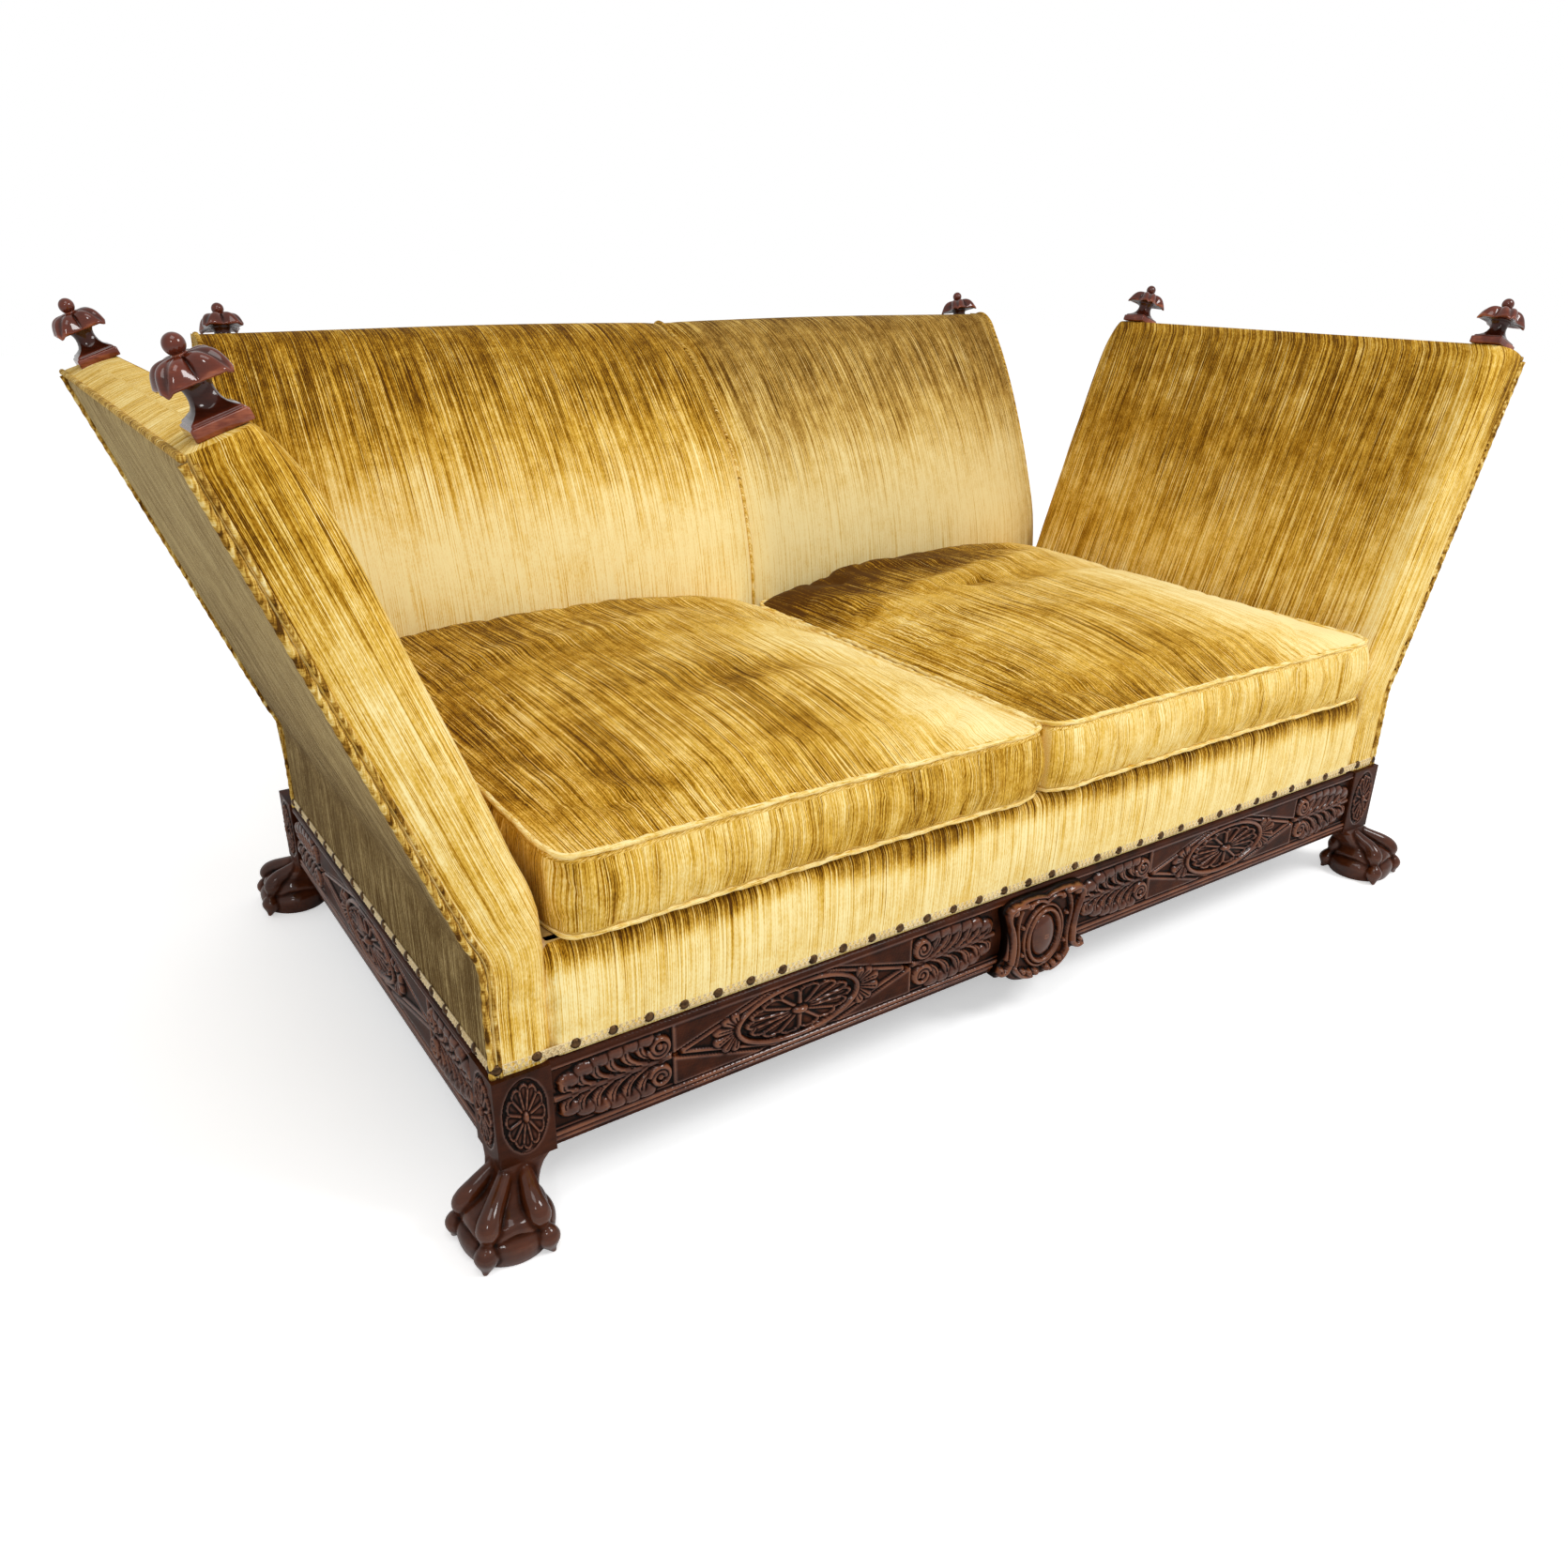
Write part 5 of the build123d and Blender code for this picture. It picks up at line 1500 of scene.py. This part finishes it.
def cushion(sideName, sign, seed):
    look = cushionLook
    verts, faces, cloth, rim, offset, dome = cushionForm(sideName)
    fine = np.zeros(offset)
    pinned = np.concatenate([rim, rim + offset])
    before = verts.copy()
    verts = simulated(verts, faces, pinned)
    # the underside stays on the deck, the top goes no higher than the stuffing allows
    verts[offset:2 * offset, 2] = np.maximum(before[offset:2 * offset, 2], look["low"])
    verts[:, 2] = np.maximum(verts[:, 2], look["low"])
    verts[2 * offset:, 0] = np.minimum(verts[2 * offset:, 0], look["sideRoom"])
    print("cushion moved up to", round(float(np.abs(verts - before).max()), 4))
    # only the wrinkles of the simulated top are kept; the crown itself is measured
    high = verts[:offset, 2].reshape(dome.shape)
    smooth = high
    for _ in range(14):
        padded = np.pad(smooth, 1, mode="edge")
        smooth = (padded[:-2, 1:-1] + padded[2:, 1:-1] + padded[1:-1, :-2] + padded[1:-1, 2:]) / 4
    fine = np.clip(high - smooth, -0.004, 0.004).ravel() * np.clip(dome.ravel() * 3, 0, 1)
    # lived-in top: shallow hollows where people sit, pulled cloth towards the seams
    inner = np.clip(dome.ravel() * 1.6, 0, 1)
    soft = waves(seed, verts[:offset] * [1, 1, 0], 0.42, 2)
    small = waves(seed + 3, verts[:offset] * [1.0, 0.45, 0], 0.12, 2)
    folds = Relief(verts[:offset, 0], verts[:offset, 1])
    for path, wide, high in look["folds"][sideName]:
        (folds.raised if high > 0 else folds.cut)(bend(*path, 14), wide, abs(high), 1.4)
    verts[:offset, 2] = look["welt"] + look["crown"] * dome.ravel() \
        + inner * (0.0045 * soft + 0.0014 * small + folds.rise) + fine
    front = verts[:, 1]
    s = (verts[:, 0] - 0.002) / 0.783
    # painted sheen and shade: lighter over the middle and towards the other cushion, darker at the front edge and
    # outer side
    patchy = waves(seed + 9, verts * [1, 1, 0.3], 0.35, 3)
    if sign < 0:
        shade = 0.54 - 0.44 * step(1 - s, 0.50, 0.95) + 0.14 * step(front, -0.10, 0.25) \
            - 0.20 * np.exp(-((front + 0.10 - 0.1 * s) / 0.12) ** 2) * (1 - s) - 0.14 * step(-front, 0.30, 0.46)
    else:
        shade = 0.44 + 0.16 * step(-front, 0.25, 0.45) * (1 - s) - 0.58 * step(s, 0.35, 1.0) \
            + 0.80 * step(front, -0.05, 0.25) * (1.25 - s)
    shade = shade + 0.16 * patchy
    # painted shade in the fold hollows, painted highlight on their ridges
    shade[:offset] -= folds.rise * 24
    bandShade = (0.36 if sign < 0 else 0.24) + 0.30 * waves(seed + 5, verts * [1, 1, 0.2], 0.09)
    shade[2 * offset:] = bandShade[2 * offset:]
    shade[rim] = shade[rim] * 0.5 + 0.15
    if sign < 0:
        verts, faces = mirrored(verts, faces)
    velvetMesh("seatCushion" + sideName.title(), verts, faces, "cushion_" + sideName, ("seat_cushion_" + sideName,),
               cloth, shade, 0)
    parts = []
    for ringIndex, lift in ((rim, 0.0), (rim + offset, 0.0022)):
        path = verts[ringIndex].copy()
        middle = path.mean(0)
        out = path - middle
        out[:, 2] = 0
        out /= np.linalg.norm(out, axis=1)[:, None]
        path = path + out * 0.0016
        path[:, 2] += lift
        fine = np.repeat(path, 2, 0)
        fine[1::2] = 0.5 * (path + np.roll(path, -1, 0))
        for _ in range(3):
            fine = (np.roll(fine, 1, 0) + 2 * fine + np.roll(fine, -1, 0)) / 4
        fine[:, 2] += 0.0008 * np.sin(np.arange(len(fine)) * 0.37) + 0.0005 * np.sin(np.arange(len(fine)) * 1.1)
        parts.append(tube(fine, 0.0037, 12, closed=True))
    verts, faces = joined(parts)
    weltCloth = zoned(verts[:, 2] * 2, (verts[:, 0] + verts[:, 1]) * 9, 9)
    velvetMesh("cushionWelt" + sideName.title(), verts, faces, "cushion_" + sideName, (), weltCloth,
               0.10 + 0.10 * waves(2, verts, 0.06), 0)


cushion("left", -1, 61)
cushion("right", 1, 72)
print("cushions stuffed")

# gimp braid and nails
trimLook = {
    "low": 0.2235,
    "middle": 0.2300,
    "loop": 0.0058,  # half height of a loop
    "pitch": 0.0085,
    "cord": 0.0013,
    "nailPitch": 0.050,
    "nailZ": 0.2305,
    "nailRadius": 0.0074,
    "nailRise": 0.0046,
    "foot": 0.22,
    "rearLean": 0.26,
    # each run: start, end, outward direction, in plan
    "runs": (
        ((-0.873, -0.487), (0.873, -0.487), (0, -1)),
        ((0.873, -0.487), (0.873, 0.412), (1, 0)),
        ((-0.873, 0.412), (-0.873, -0.487), (-1, 0)),
        ((0.859, 0.412), (0.859, 0.487), (1, 0)),
        ((-0.859, 0.487), (-0.859, 0.412), (-1, 0)),
        ((0.859, 0.487), (-0.859, 0.487), (0, 1)),
    ),
}


def braidAndNails():
    look = trimLook
    cords, strips, nails = [], [], []
    for start, end, out in look["runs"]:
        start, end, out = np.array(start), np.array(end), np.array(out)
        length = np.linalg.norm(end - start)
        steps = int(length / look["pitch"] * 12)
        t = np.linspace(0, 1, max(steps, 24))
        phase = t * length / look["pitch"] * 2 * np.pi
        swing = 0.30 * look["pitch"] * np.sin(2 * phase)
        way = (end - start) / length
        centre = start + np.outer(t * length + swing, way)
        lean = look["rearLean"] if out[1] > 0 else 0.0
        z = look["middle"] + look["loop"] * np.sin(phase)
        away = 0.0014 + 0.0004 * np.cos(phase)
        path = np.concatenate([centre + out * away[:, None] + np.outer((z - look["foot"]) * lean, out), z[:, None]], 1)
        cords.append(tube(path, look["cord"], 5))
        for offset in (-0.0056, 0.0056):
            line = np.concatenate([start + np.outer(np.linspace(0, length, 60), way) + out * 0.0010
                                   + np.outer(np.full(60, (look["middle"] + offset - look["foot"]) * lean), out),
                                   np.full((60, 1), look["middle"] + offset)], 1)
            strips.append(tube(line, 0.0011, 5))
        corners = []
        for point in (start, end):
            for z in (look["low"], look["low"] + 0.0130):
                corners.append([*(point + out * (0.0008 + (z - look["foot"]) * lean)), z])
        strips.append((np.array(corners), [[0, 2, 3, 1]]))
        number = max(int(round(length / look["nailPitch"])), 1)
        for k in range(number + (1 if abs(out[1]) > 0 or length > 0.5 else 0)):
            at = 0.004 + (length - 0.008) * k / number if number > 1 else length / 2
            place = start + way * at
            nails.append((place, out, lean))
    verts, faces = joined(cords + strips)
    makeMesh("gimpBraid", verts, faces, braid, "base", ("gimp_braid",))
    parts = []
    rng = np.random.default_rng(4)
    rings, columns = 6, 14
    lift = np.linspace(0, np.pi / 2, rings)
    turn = np.linspace(0, 2 * np.pi, columns, endpoint=False)
    for place, out, lean in nails:
        z = look["nailZ"] + rng.uniform(-0.0008, 0.0008)
        axis, side, up = np.array([[out[0], out[1], 0.0], [-out[1], out[0], 0.0], [0, 0, 1.0]])
        base = np.array([*(place + out * (0.0008 + (z - look["foot"]) * lean)), z])
        radius = look["nailRadius"] * rng.uniform(0.95, 1.04)
        dome = []
        for a in lift:
            dome.append(base + axis * look["nailRise"] * math.sin(a)
                        + radius * math.cos(a) * (np.outer(np.cos(turn), side) + np.outer(np.sin(turn), up)))
        parts.append((np.array(dome).reshape(-1, 3), gridFaces(rings, columns, False, True)))
    verts, faces = joined(parts)
    makeMesh("trimNails", verts, faces, bronzeNail, "base", ())
    print("nails:", len(nails))


braidAndNails()

# studio
studioLook = {
    "camera": (-1.2485, -1.6312, 1.1030),
    "pitch": 1.1583,
    "roll": 0.0095,
    "heading": -0.5968,
    "lens": 28.07,
    "worldLight": 0.62,
    # name, place, size, power
    "lamps": (("keyLamp", (1.6, -2.6, 3.2), 1.2, 62.0), ("fillLamp", (-1.2, -1.4, 3.4), 1.4, 18.0),
              ("glintLamp", (-2.4, -2.9, 2.5), 0.45, 11.0)),
    "floorLift": 0.45,  # brings the floor to white where the camera sees it
}


def studio():
    look = studioLook
    scene = bpy.context.scene
    camera = bpy.data.objects.new("photoCamera", bpy.data.cameras.new("photoCamera"))
    scene.collection.objects.link(camera)
    camera.location = (look["camera"][0], look["camera"][1] + midY, look["camera"][2])
    turn = Euler((0, 0, look["heading"])).to_matrix() @ Euler((look["pitch"], 0, 0)).to_matrix() \
        @ Euler((0, 0, look["roll"])).to_matrix()
    camera.rotation_euler = turn.to_euler()
    camera.data.lens = look["lens"]
    camera.data.sensor_width = 36
    camera.data.dof.use_dof = False
    camera.data.clip_end = 60
    scene.camera = camera
    # pale floor
    floorPaint = Paint("studio floor", Roughness=0.9)
    place = floorPaint.place()
    mottle = floorPaint.noise(place, scale=3, detail=2)
    floorPaint.feed("Base Color", floorPaint.ramp(mottle, [(0.3, (0.93, 0.93, 0.93)), (0.7, (0.95, 0.95, 0.95))]))
    rays = floorPaint.tree.nodes.new("ShaderNodeLightPath")
    lift = floorPaint.node("ShaderNodeEmission", {}, {"Strength": Wire(floorPaint, rays.outputs["Is Camera Ray"])
                                                      * look["floorLift"]})
    whole = floorPaint.node("ShaderNodeAddShader", {}, {0: Wire(floorPaint, floorPaint.shader.outputs[0]), 1: lift})
    floorPaint.tree.links.new(whole.socket, floorPaint.end.inputs[0])
    floor = newObject("studioFloor", [(-14, -14, 0), (14, -14, 0), (14, 14, 0), (-14, 14, 0)], [(0, 1, 2, 3)])
    floor.data.materials.append(floorPaint.material)
    world = bpy.data.worlds.new("studioLight")
    scene.world = world
    world.use_nodes = True
    tree = world.node_tree
    tree.nodes.clear()
    out = tree.nodes.new("ShaderNodeOutputWorld")
    mix = tree.nodes.new("ShaderNodeMixShader")
    rays = tree.nodes.new("ShaderNodeLightPath")
    tree.links.new(rays.outputs["Is Camera Ray"], mix.inputs[0])
    # what lights the sofa, and what the camera sees behind it
    for slot, strength in ((1, look["worldLight"]), (2, 1.0)):
        light = tree.nodes.new("ShaderNodeBackground")
        light.inputs["Color"].default_value = (1, 1, 1, 1)
        light.inputs["Strength"].default_value = strength
        tree.links.new(light.outputs[0], mix.inputs[slot])
    tree.links.new(mix.outputs[0], out.inputs[0])
    for name, place, size, power in look["lamps"]:
        lamp = bpy.data.lights.new(name, "AREA")
        lamp.shape, lamp.size, lamp.energy = "SQUARE", size, power
        obj = bpy.data.objects.new(name, lamp)
        obj.location = place
        obj.rotation_euler = (Vector((0, 0, 0.4)) - obj.location).to_track_quat("-Z", "Y").to_euler()
        scene.collection.objects.link(obj)
    scene.view_settings.view_transform = "Standard"


studio()
